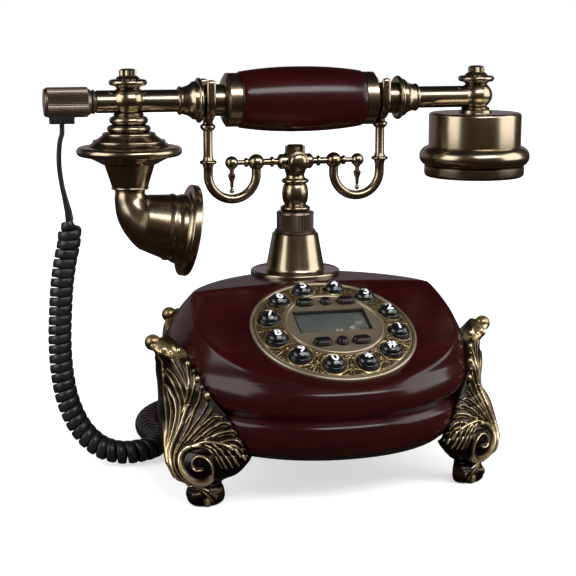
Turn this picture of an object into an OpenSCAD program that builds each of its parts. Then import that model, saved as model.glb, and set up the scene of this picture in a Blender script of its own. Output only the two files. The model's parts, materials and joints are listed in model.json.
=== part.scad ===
// Cradle telephone with a turned handset, a push-button dial and a lacquered wood base.
// Frame: +X to the right, +Y to the back, +Z up; origin on the table under the middle of the base.

/* [Base body] */
// Widest width of the wooden body
body_w = 152; // [140:1:170]
// Widest depth of the wooden body
body_d = 154; // [140:1:170]
// Height of the body's underside above the table
base_z = 25; // [22:0.5:32]
// Height of the groove between plinth and body
groove_z = 44; // [40:0.5:48]
// Height of the top face at its front corners
top_z = 91.7; // [88:0.1:96]
// Rise of the top face from its sides to its middle
top_crown = 1.6; // [0.5:0.1:2.5]
// Place, front to back, of the crease between top face and dial slope
crease_y = 2.2; // [-4:0.1:6]
// Slope of the dial face
dial_tilt = 23.2; // [18:0.1:28]
// Wall of the wooden body
body_wall = 7; // [5:0.5:9]
// Thickness of the bottom plate
plate_t = 2; // [1.5:0.1:3]

// How much further round the back the rear legs stand than the front legs do round the front
rear_turn = 26; // [20:1:26]

/* [Dial] */
// Radius of the dial plate's rim
dial_r = 40.2; // [38:0.1:42]
// Radius of the raised inner ring
inner_ring_r = 23.3; // [22.5:0.1:24.5]
// Height of the rim above the wood
rim_h = 1.5; // [1:0.1:2.5]
// Height of the inner ring above the wood
inner_ring_h = 4.9; // [4:0.1:6]
// Place of the dial's centre on the slope, as a share of the way from the crease to the front
dial_share = 0.4744; // [0.46:0.002:0.5]
// Radius of a digit key at its foot
key_r = 5.1; // [4.6:0.1:5.3]
// Height of a digit key above the plate
key_h = 4.3; // [3:0.1:6]
// Key travel
key_travel = 1.5; // [1:0.1:1.6]
// Display opening width
lcd_w = 36; // [32:0.5:37]
// Display opening height
lcd_h = 17.6; // [15:0.1:18]
// Display centre above the dial's centre
lcd_y = 3.2; // [2.5:0.1:3.6]

/* [Stem] */
// Place of the stem behind the middle of the base
stem_y = 36; // [34:0.5:38]
// Radius of the stem's foot flange
flange_r = 23.2; // [20:0.1:25]
// Radius of the cone at its foot
cone_r1 = 15.2; // [14:0.1:17]
// Radius of the cone at its top
cone_r2 = 11.8; // [11:0.1:13]
// Height of the cone
cone_h = 19.6; // [17:0.1:23]
// Radius of the knurled collar
collar_r = 9.6; // [9:0.1:10.5]
// Height of the knurled collar
collar_h = 10.6; // [9:0.1:12]
// Radius of the plunger that slides in the stem
plunger_r = 4.5; // [4:0.1:5]

/* [Cradle] */
// Height of the cradle's cross bar above the collar
bar_rise = 25.6; // [24:0.1:28]
// Distance from the grip's end band to the middle of each fork
fork_room = 5.5; // [5.3:0.1:6]
// Distance from the stem axis to each middle ball
ball_x = 20.6; // [19:0.1:22]
// Radius of the hook tubes
hook_r = 2.4; // [2:0.1:2.8]
// Travel of the cradle
cradle_travel = 4; // [3:0.5:5]
// Rise of the handset axis above the cross bar
axis_rise = 31.7; // [30:0.1:34]
// Height of the fork tines above the handset axis
tine_rise = 10.5; // [8:0.5:12]

/* [Handset] */
// Sideways place of the grip's middle
grip_x = 2.4; // [1.5:0.1:3.2]
// Half length of the wooden grip
grip_half = 32.3; // [31.8:0.1:32.6]
// Largest radius of the grip
grip_r = 16.5; // [15:0.1:18]
// Radius of the grip at its ends
grip_end_r = 14.2; // [13.6:0.1:15]
// Radius of the metal bands
band_r = 13.5; // [12:0.1:14]
// Width of the metal bands
band_w = 7.8; // [7:0.1:8]
// Radius of the grooves that rest in the forks
groove_r = 8; // [7:0.1:9]
// Radius of the neck tubes
neck_r = 5.6; // [5:0.1:6]
// Sideways place of the mouthpiece axis
mouth_x = -85.5; // [-90:0.5:-80]
// Sideways place of the earpiece axis
ear_x = 98.6; // [94:0.5:102]
// Left end of the end knob
knob_end_x = -127; // [-130:0.5:-124]
// Radius of the end knob
knob_r = 7.4; // [7:0.1:8]
// Radius of the mouthpiece disc
disc_r = 26.3; // [24:0.1:28]
// Radius of the horn's rim
horn_rim_r = 23.3; // [21:0.1:25]
// Radius of the earpiece cup
ear_cup_r = 24.4; // [23:0.1:26]
// Radius of the round moulding on the earpiece
ear_ring_r = 29.2; // [28:0.1:31]
// Radius of the ear cap
ear_cap_r = 26.4; // [25.5:0.1:27]

/* [Cord] */
// Outer radius of the curls
coil_r = 6; // [5:0.1:6.4]
// Distance from one curl to the next
coil_pitch = 4.8; // [4.6:0.1:6]
// Width of the flat wire
wire_w = 2.8; // [2.4:0.1:3]
// Thickness of the flat wire
wire_t = 2.2; // [1.8:0.1:2.4]

/* [Fits] */
// Gap round each key
key_gap = 0.3; // [0.2:0.05:0.4]
// Gap round the plunger
plunger_gap = 0.1; // [0.08:0.01:0.3]
// Gap between moving pieces that only pass or rest on each other
rest_gap = 0.3; // [0.2:0.05:0.4]
// Gap between the legs and the wood behind them
leg_gap = 0.25; // [0.2:0.05:0.4]
// Gap of a spigot in its bore
spigot_gap = 0.05; // [0.03:0.01:0.1]

/* [Hidden] */

half_w = body_w / 2;
half_d = body_d / 2;
dial_down = dial_share * (half_d - 5 + crease_y) / cos(dial_tilt);
key_ring_r = (dial_r + inner_ring_r - 1.7) / 2;
fork_x = grip_half + band_w + fork_room;
end_ball_x = (fork_x + ball_x) / 2 + 0.3;
seat_z = top_z + 1.2;               // flat seat of the stem's flange
flange_t = 2.3;
cone_z = seat_z + flange_t;
collar_z = cone_z + cone_h;
collar_top = collar_z + collar_h;
bar_z = collar_top + bar_rise;
axis_z = bar_z + axis_rise;
around = 96;

// ---------- shapes of turned profiles ----------
function arc(c, r, a0, a1, n = 8) = [for (i = [0:n]) let (a = a0 + (a1 - a0) * i / n) c + r * [cos(a),
    sin(a)]];
function oval(c, rx, ry, a0, a1, n = 8) =
    [for (i = [0:n]) let (a = a0 + (a1 - a0) * i / n) [c[0] + rx * cos(a), c[1] + ry * sin(a)]];
function fluted(r, depth, n) = [for (i = [0:2 * n - 1]) (i % 2 == 0 ? r : r - depth) * [cos(180 * i / n),
    sin(180 * i / n)]];

module turned(profile) rotate_extrude($fn = around) polygon(profile);
module at_axis(x) translate([x, stem_y, axis_z]) children();
// turned piece lying along the handset: profile is [radius, distance along +X]
module lying(profile) translate([0, stem_y, axis_z]) rotate([0, 90, 0]) turned(profile);

// ---------- wall of the body: a rounded oval whose size follows the height ----------
side_inset = [[base_z, 9], [base_z + 1, 7.4], [base_z + 4, 4], [base_z + 10, 1.6], [groove_z - 4, 2],
    [groove_z - 1, 4.2], [groove_z, 5.4], [groove_z + 1, 4.2], [groove_z + 4, 1.4], [groove_z + 10, 0],
    [groove_z + 18, 1], [groove_z + 26, 3.2], [top_z - 14.7, 6.8], [top_z - 6.7, 11.3], [top_z, 14.7],
    [top_z + 2.5, 16.2]];
front_inset = [[base_z, 8.6], [base_z + 1, 7], [base_z + 4, 3.8], [base_z + 10, 0.9], [groove_z - 4, 1.2],
    [groove_z - 1, 3.4], [groove_z, 4.6], [groove_z + 1, 3.4], [groove_z + 4, 0.8], [groove_z + 8, 0],
    [groove_z + 12, 0.8], [groove_z + 15, 3], [groove_z + 17, 4.6], [groove_z + 20, 5], [top_z + 2.5, 5]];
back_inset = [[base_z, 8.6], [base_z + 1, 7], [base_z + 4, 3.8], [base_z + 10, 0.9], [groove_z - 4, 1.2],
    [groove_z - 1, 3.4], [groove_z, 4.6], [groove_z + 1, 3.4], [groove_z + 4, 0.8], [groove_z + 10, 0],
    [groove_z + 18, 0.5], [groove_z + 26, 2], [top_z - 11.7, 6], [top_z - 3.7, 14], [top_z - 0.7, 22],
    [top_z + 0.3, 28], [top_z + 2.5, 42]];
back_power = [[groove_z + 18, 2.1], [top_z - 11.7, 2], [top_z - 3.7, 1.7], [top_z + 0.3, 1.5]];
wall_rows = [base_z, base_z + 1, base_z + 4, base_z + 10, groove_z - 4, groove_z - 1, groove_z,
    groove_z + 1,
    groove_z + 4, groove_z + 8, groove_z + 12, groove_z + 15, groove_z + 18, groove_z + 23, groove_z + 28,
    top_z - 14.7, top_z - 10, top_z - 6.7, top_z - 3.7, top_z - 0.7, top_z + 0.3, top_z + 2.5];

// distance from the body's axis to its wall, towards angle a measured from the front to the right
function wall_r(a, z, inset = 0) =
    let (front = cos(a) > 0,
         w = half_w - lookup(z, side_inset) - inset,
         d = half_d - lookup(z, front ? front_inset : back_inset) - inset,
         p = front ? 2.1 : lookup(z, back_power))
    pow(pow(abs(sin(a)) / w, p) + pow(abs(cos(a)) / d, p), -1 / p);
function towards(a, r, z) = [r * sin(a), -r * cos(a), z];
function wall_ring(z, n, inset = 0) = [for (i = [0:n - 1]) let (a = 360 * i / n) towards(a,
    wall_r(a, z, inset), z)];

// faces of a stack of closed rings, each of n points, with flat ends
function stack_faces(rows, n) = concat(
    [for (j = [0:rows - 2], i = [0:n - 1]) let (k = (i + 1) % n) [j * n + i, (j + 1) * n + k, j * n + k]],
    [for (j = [0:rows - 2], i = [0:n - 1]) let (k = (i + 1) % n) [j * n + i, (j + 1) * n + i,
        (j + 1) * n + k]],
    [[for (i = [0:n - 1]) i]], [[for (i = [n - 1:-1:0]) (rows - 1) * n + i]]);
module stack(rings) polyhedron([for (ring = rings, p = ring) p], stack_faces(len(rings), len(rings[0])),
    convexity = 8);

// half space under the dial slope, lowered by drop
module under_slope(drop = 0) translate([0, crease_y, top_z]) rotate([dial_tilt, 0, 0])
    translate([-body_w, -2 * body_d, -200 - drop]) cube([2 * body_w, 4 * body_d, 200]);
// round-topped block that crowns the top face
crown_r = (pow(half_w - 14.7, 2) + pow(top_crown, 2)) / (2 * top_crown);
module under_crown() translate([0, body_d, top_z + top_crown - crown_r]) rotate([90, 0, 0])
    cylinder(r = crown_r, h = 2 * body_d, $fn = around);

module on_dial() translate([0, crease_y, top_z]) rotate([dial_tilt, 0, 0]) translate([0, -dial_down,
    0]) children();

// ---------- wooden body ----------
recess_r = key_ring_r + key_r + 1;
jack_x = 9;
jack_z = 34;
jack_w = 13;
jack_h = 13;
back_wall_y = wall_r(180, jack_z);
boss_r = 4;
boss_x = 40;
boss_y = 42;
boss_spots = [for (sx = [-1, 1], sy = [-1, 1]) [sx * boss_x, sy * boss_y]];
module body_shell() color([0.25, 0.05, 0.05]) difference() {
    intersection() {
        stack([for (z = wall_rows) wall_ring(z, 48)]);
        under_slope();
        under_crown();
    }
    intersection() {
        stack([for (z = [base_z - 1, base_z + 10, groove_z - 3, groove_z + 3, groove_z + 15, top_z - 20,
            top_z - 9])
            wall_ring(max(z, base_z), 32, body_wall + (z < base_z + 5 ? -3 : 0)) + [for (i = [0:31]) [0, 0,
                min(0, z - base_z)]]]);
        under_slope(body_wall + 1);
    }
    on_dial() translate([0, 0, -body_wall - 8]) cylinder(r = recess_r, h = body_wall + 16, $fn = around);
    translate([0, stem_y, top_z - 20]) cylinder(r = plunger_r + 1.5, h = 40, $fn = around);
    translate([0, stem_y, seat_z]) cylinder(r = flange_r + 0.3, h = 20, $fn = around);
    for (s = [-1, 1]) translate([s * jack_x - jack_w / 2, half_d - 16, jack_z - jack_h / 2]) cube([jack_w,
        30, jack_h]);
}

module base_plate() color([0.12, 0.1, 0.1]) difference() {
    translate([0, 0, base_z - plate_t]) linear_extrude(plate_t)
        polygon([for (p = wall_ring(base_z, 72, 2)) [p[0], p[1]]]);
    for (p = boss_spots) translate([p[0], p[1], base_z - plate_t - 1]) cylinder(r = 1.6, h = plate_t + 2,
        $fn = 24);
    for (x = [-24:8:24]) translate([x, -8, base_z - plate_t - 1]) linear_extrude(plate_t + 2) hull() {
        translate([0, -9]) circle(r = 1.5, $fn = 24);
        translate([0, 9]) circle(r = 1.5, $fn = 24);
    }
}

// screws: four hold the bottom plate to its pillars, four hold the circuit board
pillar_h = 16;
module screw(r, head_r, head_h, length) {
    cylinder(r = head_r, h = head_h, $fn = 32);
    translate([0, 0, head_h]) cylinder(r = r, h = length, $fn = 32);
}
module fasteners() color([0.7, 0.68, 0.62]) {
    for (p = boss_spots) translate([p[0], p[1], base_z - plate_t - 1.5]) screw(1.5, 3, 1.5, plate_t + 8);
}

// ---------- legs ----------
// outline of a leg by height: height, inner edge angle and stand-off, outer edge angle and stand-off,
// swell of the front, angle where the side returns to the wood, stand-off of the back
leg_rows = [
    [0, 52, 1, 61.5, 1, 6.5, 62, 7],
    [2, 50.5, 2, 63, 2, 7.5, 63.5, 5.5],
    [5, 50, 2, 63.5, 3, 7.5, 64, 5],
    [8.5, 50.5, 1, 62.5, 3, 6.5, 63, 5],
    [10.5, 51.5, -1, 61, 5, 6, 62, 5],
    [13, 49, -2, 61, 11, 4.5, 64, 6],
    [16, 44.5, -2.5, 62, 15, 2.5, 68, 6],
    [20, 41.5, -3, 63.7, 15.7, 2.5, 72, 4.5],
    [24.8, 39.5, -3.2, 66.2, 14.5, 3, 76, 2.5],
    [30, 40.3, -1.4, 70, 12.6, 3.5, 80, 0],
    [36, 42.6, 0.1, 74.5, 9.8, 3.8, 84, 0],
    [42, 45.5, 0.5, 79, 6.2, 3.4, 86.5, 0],
    [46, 48.7, 0.8, 81, 4.9, 2.8, 87.5, 0],
    [50, 51.9, 1.2, 81.5, 4.7, 2.6, 88, 0],
    [57, 57.4, 2, 81.5, 6, 2.3, 88, 0],
    [64, 63.2, 2, 81, 8, 1.9, 88, 0],
    [69, 68, 2.4, 80, 10.5, 2, 87, 0],
    [73, 70.5, 2.4, 79.5, 11, 1.4, 86, 0],
    [76.2, 72, 2, 78.5, 9, 1, 84, 0]];
function leg_at(z, k) = lookup(z, [for (row = leg_rows) [row[0], row[k]]]);
scroll_z = 22.2;
scroll_a = 53;
scroll_r = 9.6;
// raised pattern of the leg's face: scroll, shell fan, leaf ribs and rolled top
function leg_relief(s, a, z) =
    let (u = (a - scroll_a) * 1.5,
         v = z - scroll_z,
         r = norm([u, v]),
         turn = atan2(v, u),
         scroll = r < scroll_r + 1.5 ? 1.8 * cos(min(90, 62 * r / scroll_r)) + 0.8 *
             cos(360 * r / 5.2 - turn) : 0,
         fan = u < -5 && z > 14 && z < 46 ? 0.8 * cos(11 * atan2(v + 2, -u + 6)) : 0,
         leaf = z > 30 && z < 66 && u > -5 - (z - 30) * 0.1 ? 0.7 * cos(360 * 4.5 * s) : 0,
         roll = (1.6 + 2.2 * s) * exp(-pow((z - 71) / 3.3, 2)))
    (s <= 0 || s >= 1) ? roll : (r < scroll_r + 1.5 ? scroll : fan + leaf) + roll;
leg_z = concat([0, 2, 5, 8.5, 10.5], [for (z = [12.5:2:36.5]) z],
    [40, 43.5, 47, 50.5, 54, 57.5, 61, 64.5, 67, 69, 71, 72.7, 74.2, 75.4, 76.2]);
leg_low = base_z + 10;              // between these heights a leg bridges the body's groove
leg_high = groove_z + 10;
// wall behind a leg at angle b, and the smooth surface that its face stands off from
function leg_wall(b, z) = z <= leg_low || z >= leg_high ? wall_r(b, max(z, base_z))
    : let (k = (z - leg_low) / (leg_high - leg_low)) (1 - k) * wall_r(b, leg_low) + k * wall_r(b, leg_high);
function leg_face(b, z) = wall_r(b, max(z, leg_high));
// a rear leg stands further round than a front one, and its upper part lies closer to the wood
function leg_turn(a, rear) = rear ? 180 - a + rear_turn : a;
function leg_lean(z, rear) = rear ? lookup(z, [[44, 1], [60, 0.55]]) : 1;
// height of a point that dips towards the wood near the leg's top
function leg_dip(z, dip) = z - dip * lookup(z, [[60, 0], [76.2, 8]]);
function leg_ring(z, rear) =
    let (a0 = leg_at(z, 1), a1 = leg_at(z, 3), a2 = leg_at(z, 6), back = leg_at(z, 7) + leg_gap,
         lean = leg_lean(z, rear), up1 = leg_gap + (leg_at(z, 4) - leg_gap) * lean, nf = 16, ns = 3, nb = 8,
         face = [for (i = [0:nf])
             let (s = i / nf, a = a0 + (a1 - a0) * s, b = leg_turn(a, rear), h = leg_dip(z, 0.65 * (1 - s)),
                  up = leg_at(z, 2) + (leg_at(z, 4) - leg_at(z, 2)) * s + leg_at(z, 5) * 4 * s * (1 - s))
             towards(b, leg_face(b, h) + leg_gap + (up + leg_relief(s, a, z) - leg_gap) * lean, h)],
         side = [for (i = [1:ns])
             let (s = i / ns, b = leg_turn(a1 + (a2 - a1) * s, rear), h = leg_dip(z, s))
             towards(b, (leg_face(b, h) + up1) * (1 - s) + (leg_wall(b,
                 h) + back + 1) * s + 2 * sin(180 * s), h)],
         behind = [for (i = [0:nb])
             let (s = i / nb, b = leg_turn(a2 + (a0 - a2) * s, rear), h = leg_dip(z, 1 - 0.35 * s))
             towards(b, leg_wall(b, h) + back, h)],
         ring = concat(face, side, behind),
         c = 0.45 * [for (p = ring) 1] * ring / len(ring) + 0.55 * face[nf],
         k = z < 71.5 ? 1 : sqrt(1 - pow((z - 71.5) / 4.9, 2)))
    [for (p = ring) [c[0] + (p[0] - c[0]) * k, c[1] + (p[1] - c[1]) * k, p[2]]];
// turns a right ring into the left one, with its points in the order that faces outward
function corner(ring, sx, rear) = let (q = [for (p = ring) [sx * p[0], p[1], p[2]]])
    (sx > 0) != rear ? q : [for (i = [len(q) - 1:-1:0]) q[i]];
module leg(sx, rear) color([0.55, 0.42, 0.2]) stack([for (z = leg_z) corner(leg_ring(z, rear), sx, rear)]);

// ---------- dial ----------
plate_under = -0.2;
key_angles = [for (i = [0:11]) 15 + 30 * i];
function key_spot(i) = key_ring_r * [sin(key_angles[i]), cos(key_angles[i])];
// function keys: place, half width and half height
function_spots = [[-10, 18, 4.2, 2.2], [0.4, 18.2, 2.4, 2.4], [10.6, 18, 4.2, 2.2],
    [-9.6, -14.6, 4.2, 2.4], [0, -14.6, 2.4, 2.6], [9.4, -14.6, 4.2, 2.4]];
function plate_top(r) = rim_h - 0.3 + (inner_ring_h - 0.8 - rim_h + 0.3) *
    (dial_r - 2.4 - r) / (dial_r - 2.4 - inner_ring_r - 1.6);
module on_keys(i) translate([key_spot(i)[0], key_spot(i)[1], 0]) children();
module oval_prism(rx, ry, h) linear_extrude(h) hull() {
    translate([-max(0.01, rx - ry), 0]) circle(r = ry, $fn = 32);
    translate([max(0.01, rx - ry), 0]) circle(r = ry, $fn = 32);
}
module dial_plate() color([0.55, 0.45, 0.25]) on_dial() difference() {
    turned(concat([[0, 0], [dial_r, 0], [dial_r, rim_h - 0.7]], arc([dial_r - 1, rim_h - 1], 1, 0, 180, 6),
        [[dial_r - 2.4, rim_h - 0.3], [inner_ring_r + 1.6, inner_ring_h - 0.8]],
        arc([inner_ring_r, inner_ring_h - 0.9], 0.9, 0, 180, 6),
            [[inner_ring_r - 1.6, inner_ring_h - 1], [0, inner_ring_h - 1]]));
    for (i = [0:11]) on_keys(i) translate([0, 0, -2]) cylinder(r = key_r + key_gap, h = 12, $fn = 48);
    for (f = function_spots) translate([f[0], f[1], -2]) oval_prism(f[2] + key_gap, f[3] + key_gap, 12);
    translate([-lcd_w / 2, lcd_y - lcd_h / 2, -2]) cube([lcd_w, lcd_h, 12]);
}
module lcd_window() color([0.5, 0.55, 0.5]) on_dial()
    translate([-lcd_w / 2 + 0.2, lcd_y - lcd_h / 2 + 0.2, 1.6]) cube([lcd_w - 0.4, lcd_h - 0.4, 1.2]);
module lcd_panel() color([0.4, 0.43, 0.36]) on_dial()
    translate([-lcd_w / 2 + 0.6, lcd_y - lcd_h / 2 + 0.6, -0.4]) cube([lcd_w - 1.2, lcd_h - 1.2, 1.9]);

flange_under = -1.4;                // top of the keys' retaining flanges, under the plate
mat_top = flange_under - 1.2;
module keypad_mat() color([0.2, 0.2, 0.22]) on_dial() difference() {
    translate([0, 0, mat_top - 2.2]) cylinder(r = recess_r - 0.8, h = 2.2, $fn = around);
    for (i = [0:11]) on_keys(i) translate([0, 0, mat_top - key_travel - 0.3]) cylinder(r = key_r + 1.3,
        h = 4, $fn = 48);
    for (f = function_spots) translate([f[0], f[1], mat_top - key_travel - 0.3]) oval_prism(f[2] + 1.2,
        f[3] + 1.2, 4);
}
module circuit_board() color([0.1, 0.35, 0.2]) on_dial() {
    translate([0, 0, mat_top - 3.8]) cylinder(r = recess_r - 0.8, h = 1.6, $fn = around);
    translate([-9, -7, mat_top - 6]) cube([18, 14, 2.2]);
    for (x = [-20, 20]) translate([x, 0, mat_top - 9]) cylinder(r = 3, h = 5.2, $fn = 32);
}
module digit_key(i) color([0.08, 0.08, 0.1]) on_dial() on_keys(i) {
    z0 = plate_top(key_ring_r);
    top = z0 + key_h;
    turned(concat([[0, mat_top + 0.1], [key_r + 0.8, mat_top + 0.1],
        [key_r + 0.8, flange_under + plate_under],
        [key_r, flange_under + plate_under], [key_r, z0 + 0.6], [key_r - 0.5, z0 + 1.3],
            [key_r - 1.4, z0 + 2.1]],
        oval([0, z0 + 2.2], key_r - 1.6, key_h - 2.2, 0, 90, 8)));
}
module function_key(i) color([0.08, 0.08, 0.1]) on_dial() {
    f = function_spots[i];
    translate([f[0], f[1], mat_top + 0.1]) oval_prism(f[2] + 0.8, f[3] + 0.8,
        flange_under + plate_under - mat_top - 0.1);
    translate([f[0], f[1], mat_top + 0.1]) oval_prism(f[2], f[3], inner_ring_h + 0.9 - mat_top);
    translate([f[0], f[1], inner_ring_h + 1]) oval_prism(f[2] - 0.6, f[3] - 0.6, 0.5);
}

// ---------- inside the base ----------
floor_z = base_z;
module ringer_speaker() color([0.3, 0.3, 0.32]) translate([0, -8, floor_z]) difference() {
    turned([[0, 0], [22, 0], [22, 2], [19, 3], [14, 8], [14, 12], [0, 12]]);
    translate([0, 0, -1]) turned([[0, 0], [18, 0], [18, 2], [12, 6], [0, 6]]);
}
module hook_switch() color([0.2, 0.25, 0.3]) translate([0, stem_y, 0]) {
    translate([-9, -6, floor_z]) cube([18, 12, 22]);
    translate([-3, -3, floor_z + 22]) cube([6, 6, 3]);
}
module jack(x) color([0.15, 0.15, 0.15]) translate([x, back_wall_y, jack_z]) difference() {
    translate([-jack_w / 2 + 0.3, -14, -jack_h / 2 + 0.3]) cube([jack_w - 0.6, 13, jack_h - 0.6]);
    translate([-5, -11, -4]) cube([10, 14, 8]);
}
module line_jack() jack(jack_x);
module cord_jack() jack(-jack_x);

// ---------- stem ----------
spring_r = plunger_r + 1.9;
module stem_flange() color([0.5, 0.4, 0.22]) translate([0, stem_y, seat_z]) difference() {
    turned(concat([[0, 0], [flange_r, 0]], arc([flange_r - 1.1, 1.2], 1.1, 0, 110, 6),
        [[flange_r - 2.4, flange_t - 0.5], [cone_r1 + 1.4, flange_t], [0, flange_t]]));
    translate([0, 0, -1]) cylinder(r = plunger_r + plunger_gap, h = flange_t + 2, $fn = around);
}
module stem_cone() color([0.5, 0.4, 0.22]) translate([0, stem_y, cone_z]) difference() {
    turned([[0, 0], [cone_r1 + 0.6, 0], [cone_r1 + 0.1, 0.7], [cone_r1 - 0.25, 1.8],
        [cone_r2 + 0.1, cone_h - 1], [cone_r2 - 0.6, cone_h - 0.3], [cone_r2 - 1.2, cone_h], [0, cone_h]]);
    translate([0, 0, -1]) cylinder(r = spring_r + 0.3, h = cone_h - 1.5, $fn = around);
    translate([0, 0, cone_h - 4]) cylinder(r = plunger_r + 1, h = 8, $fn = around);
}
module stem_collar() color([0.42, 0.34, 0.2]) translate([0, stem_y, collar_z]) difference() {
    union() {
        turned([[0, 0], [collar_r + 0.9, 0], [collar_r + 0.9, 0.9], [collar_r + 0.3, 1.3], [0, 1.3]]);
        translate([0, 0, 1.2]) linear_extrude(collar_h - 2.4) polygon(fluted(collar_r, 0.45, 40));
        translate([0, 0, collar_h - 1.3]) turned([[0, 0], [collar_r + 0.3, 0], [collar_r, 0.8],
            [collar_r - 1, 1.3], [0, 1.3]]);
    }
    translate([0, 0, -1]) cylinder(r = plunger_r + plunger_gap, h = collar_h + 2, $fn = around);
}
// coil spring between the flange and the shoulder of the plunger
spring_wire = 0.9;
spring_turns = 7;
spring_z0 = cone_z + 0.1;
shoulder_z = collar_z - cradle_travel - 3.6;
function spring_ring(t) = let (a = 360 * spring_turns * t, tilt = 0,
        z = spring_z0 + spring_wire / 2 + (shoulder_z - 0.1 - spring_z0 - spring_wire) * t)
    [for (k = [0:5]) let (b = 60 * k, r = plunger_r + 0.9 + spring_wire / 2 * cos(b)) [r * cos(a),
        r * sin(a), z + spring_wire / 2 * sin(b)]];
module return_spring() color([0.6, 0.6, 0.6]) translate([0, stem_y, 0])
    stack([for (i = [0:8 * spring_turns]) [for (k = [5:-1:0]) spring_ring(i / (8 * spring_turns))[k]]]);

// ---------- cradle ----------
plunger_z = floor_z + 25.1;         // lower end of the plunger, on the switch
module cradle_post() color([0.5, 0.4, 0.22]) translate([0, stem_y, 0]) {
    z0 = collar_top + rest_gap;
    turned(concat([[0, plunger_z], [plunger_r, plunger_z], [plunger_r, shoulder_z],
        [spring_r - 0.5, shoulder_z],
        [spring_r - 0.5, shoulder_z + 0.1], [plunger_r, shoulder_z + 0.6], [plunger_r, z0], [6.4, z0]],
        arc([6.6, z0 + 1.2], 1.2, -70, 80, 5), [[6.2, z0 + 2.6], [5.5, z0 + 3.4]],
        oval([5.3, z0 + 8.6], 1.5, 5.2, -80, 80, 8), [[5.3, z0 + 14.2]],
        arc([6, z0 + 15.3], 1.1, -80, 80, 5), [[5.1, z0 + 16.8], [4.7, z0 + 18.2], [5.3, z0 + 20.4],
            [0, z0 + 20.4]]));
}
hub_r = 5.4;
hub_reach = 7;
hub_foot_r = 5.6;
module cradle_hub() color([0.5, 0.4, 0.22]) translate([0, stem_y, bar_z]) {
    translate([0, 0, -bar_rise + rest_gap + 20.4]) turned([[0, 0], [5.3, 0], [hub_foot_r, 1],
        [hub_foot_r, 3.6], [0, 6.2]]);
    rotate([90, 0, 0]) translate([0, 0, -hub_reach]) turned(concat([[0, -1.8]],
        oval([0, 0], 4.4, 1.8, -90, -10, 6),
        [[hub_r, 0], [hub_r, 1.2], [hub_r - 1, 1.6], [hub_r - 1, 2 * hub_reach - 1.6],
            [hub_r, 2 * hub_reach - 1.2],
        [hub_r, 2 * hub_reach]], oval([0, 2 * hub_reach], 4.4, 1.8, 10, 90, 6)));
    translate([0, 0, hub_r - 2]) linear_extrude(4.3) polygon(fluted(5.4, 0.7, 12));
    translate([0, 0, hub_r + 2.3]) turned([[0, 0], [4.6, 0], [3.6, 0.9], [0, 1.1]]);
}
hook_rad = (fork_x - ball_x) / 2;
arc_x = (fork_x + ball_x) / 2;
arc_z = -6;
ring_z = 0.6;
bulb_z = axis_rise - groove_r - rest_gap - 5.5;
tine_r = groove_r + rest_gap;
tine_t = 3;
tine_w = 4.6;
module fork() {
    rotate([90, 0, 90]) translate([0, 0, -tine_w / 2]) linear_extrude(tine_w) difference() {
        union() {
            circle(r = tine_r + tine_t, $fn = around);
            translate([-tine_r - tine_t, 0]) square([2 * (tine_r + tine_t), tine_rise - tine_t / 2]);
            for (s = [-1, 1]) translate([s * (tine_r + tine_t / 2),
                tine_rise - tine_t / 2]) circle(r = tine_t / 2, $fn = 32);
        }
        circle(r = tine_r, $fn = around);
        translate([-tine_r, 0]) square([2 * tine_r, tine_rise + 4]);
    }
}
// one hook arm of the cradle, on the right side of the hub
module hook_arm() {
    difference() {
        rotate([0, 90, 0]) turned(concat([[0, hub_r - 1.2], [3.9, hub_r - 1.2], [3.9, 8], [3.2, 8.8],
            [1.8, 9.6], [1.7, 11.2], [2.7, 11.8], [2.7, 12.8],
            [1.8, 13.4], [1.7, 16.6]], arc([0, ball_x], 4.2, -65, 65, 10),
                [[1.6, 24.6], [2.4, 25.4], [2.4, 26.4], [1.3, 27.2],
            [1.3, 30]], arc([0, end_ball_x], 3.4, -68, 90, 10)));
        rotate([90, 0, 0]) cylinder(r = hub_r - 1, h = 30, center = true, $fn = around);
        translate([0, 0, -10]) cylinder(r = hub_foot_r, h = 14, $fn = around);
    }
    translate([end_ball_x, 0, -15.7]) turned(concat([[0, 0]], arc([0, 1.3], 1.3, -60, 70, 6),
        [[0.9, 3.4], [1, 6], [1.9, 8.4], [1.9, 9.6],
        [1.1, 10.4], [1.1, 12], [1.8, 12.6], [1.1, 13.4], [0, 14]]));
    translate([ball_x, 0, arc_z]) cylinder(r = hook_r, h = -arc_z, $fn = 48);
    translate([arc_x, 0, arc_z]) rotate([90, 0, 0]) rotate([0, 0, 180]) rotate_extrude(angle = 180,
        $fn = around)
        translate([hook_rad, 0]) circle(r = hook_r, $fn = 32);
    translate([fork_x, 0, arc_z]) cylinder(r = hook_r, h = bulb_z - arc_z, $fn = 48);
    translate([fork_x, 0, ring_z]) turned(concat([[0, -3], [hook_r, -3], [hook_r + 0.6, -1]],
        arc([hook_r + 1.1, 0], 0.9, -80, 80, 6),
        [[hook_r + 0.6, 1], [hook_r, 3], [0, 3]]));
    difference() {
        translate([fork_x, 0, bulb_z]) turned([[0, -1.5], [hook_r, -1.5], [3.2, -0.9], [4, 0.3],
            [3.9, 1.3], [2.6, 2.2], [2.4, 5.6], [0, 5.6]]);
        translate([fork_x, 0, axis_rise]) rotate([0, 90, 0]) cylinder(r = tine_r + 0.5, h = 20,
            center = true, $fn = around);
    }
    translate([fork_x, 0, axis_rise]) fork();
}
module hook_right() color([0.5, 0.4, 0.22]) translate([0, stem_y, bar_z]) hook_arm();
module hook_left() color([0.5, 0.4, 0.22]) translate([0, stem_y, bar_z]) mirror([1, 0, 0]) hook_arm();

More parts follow.
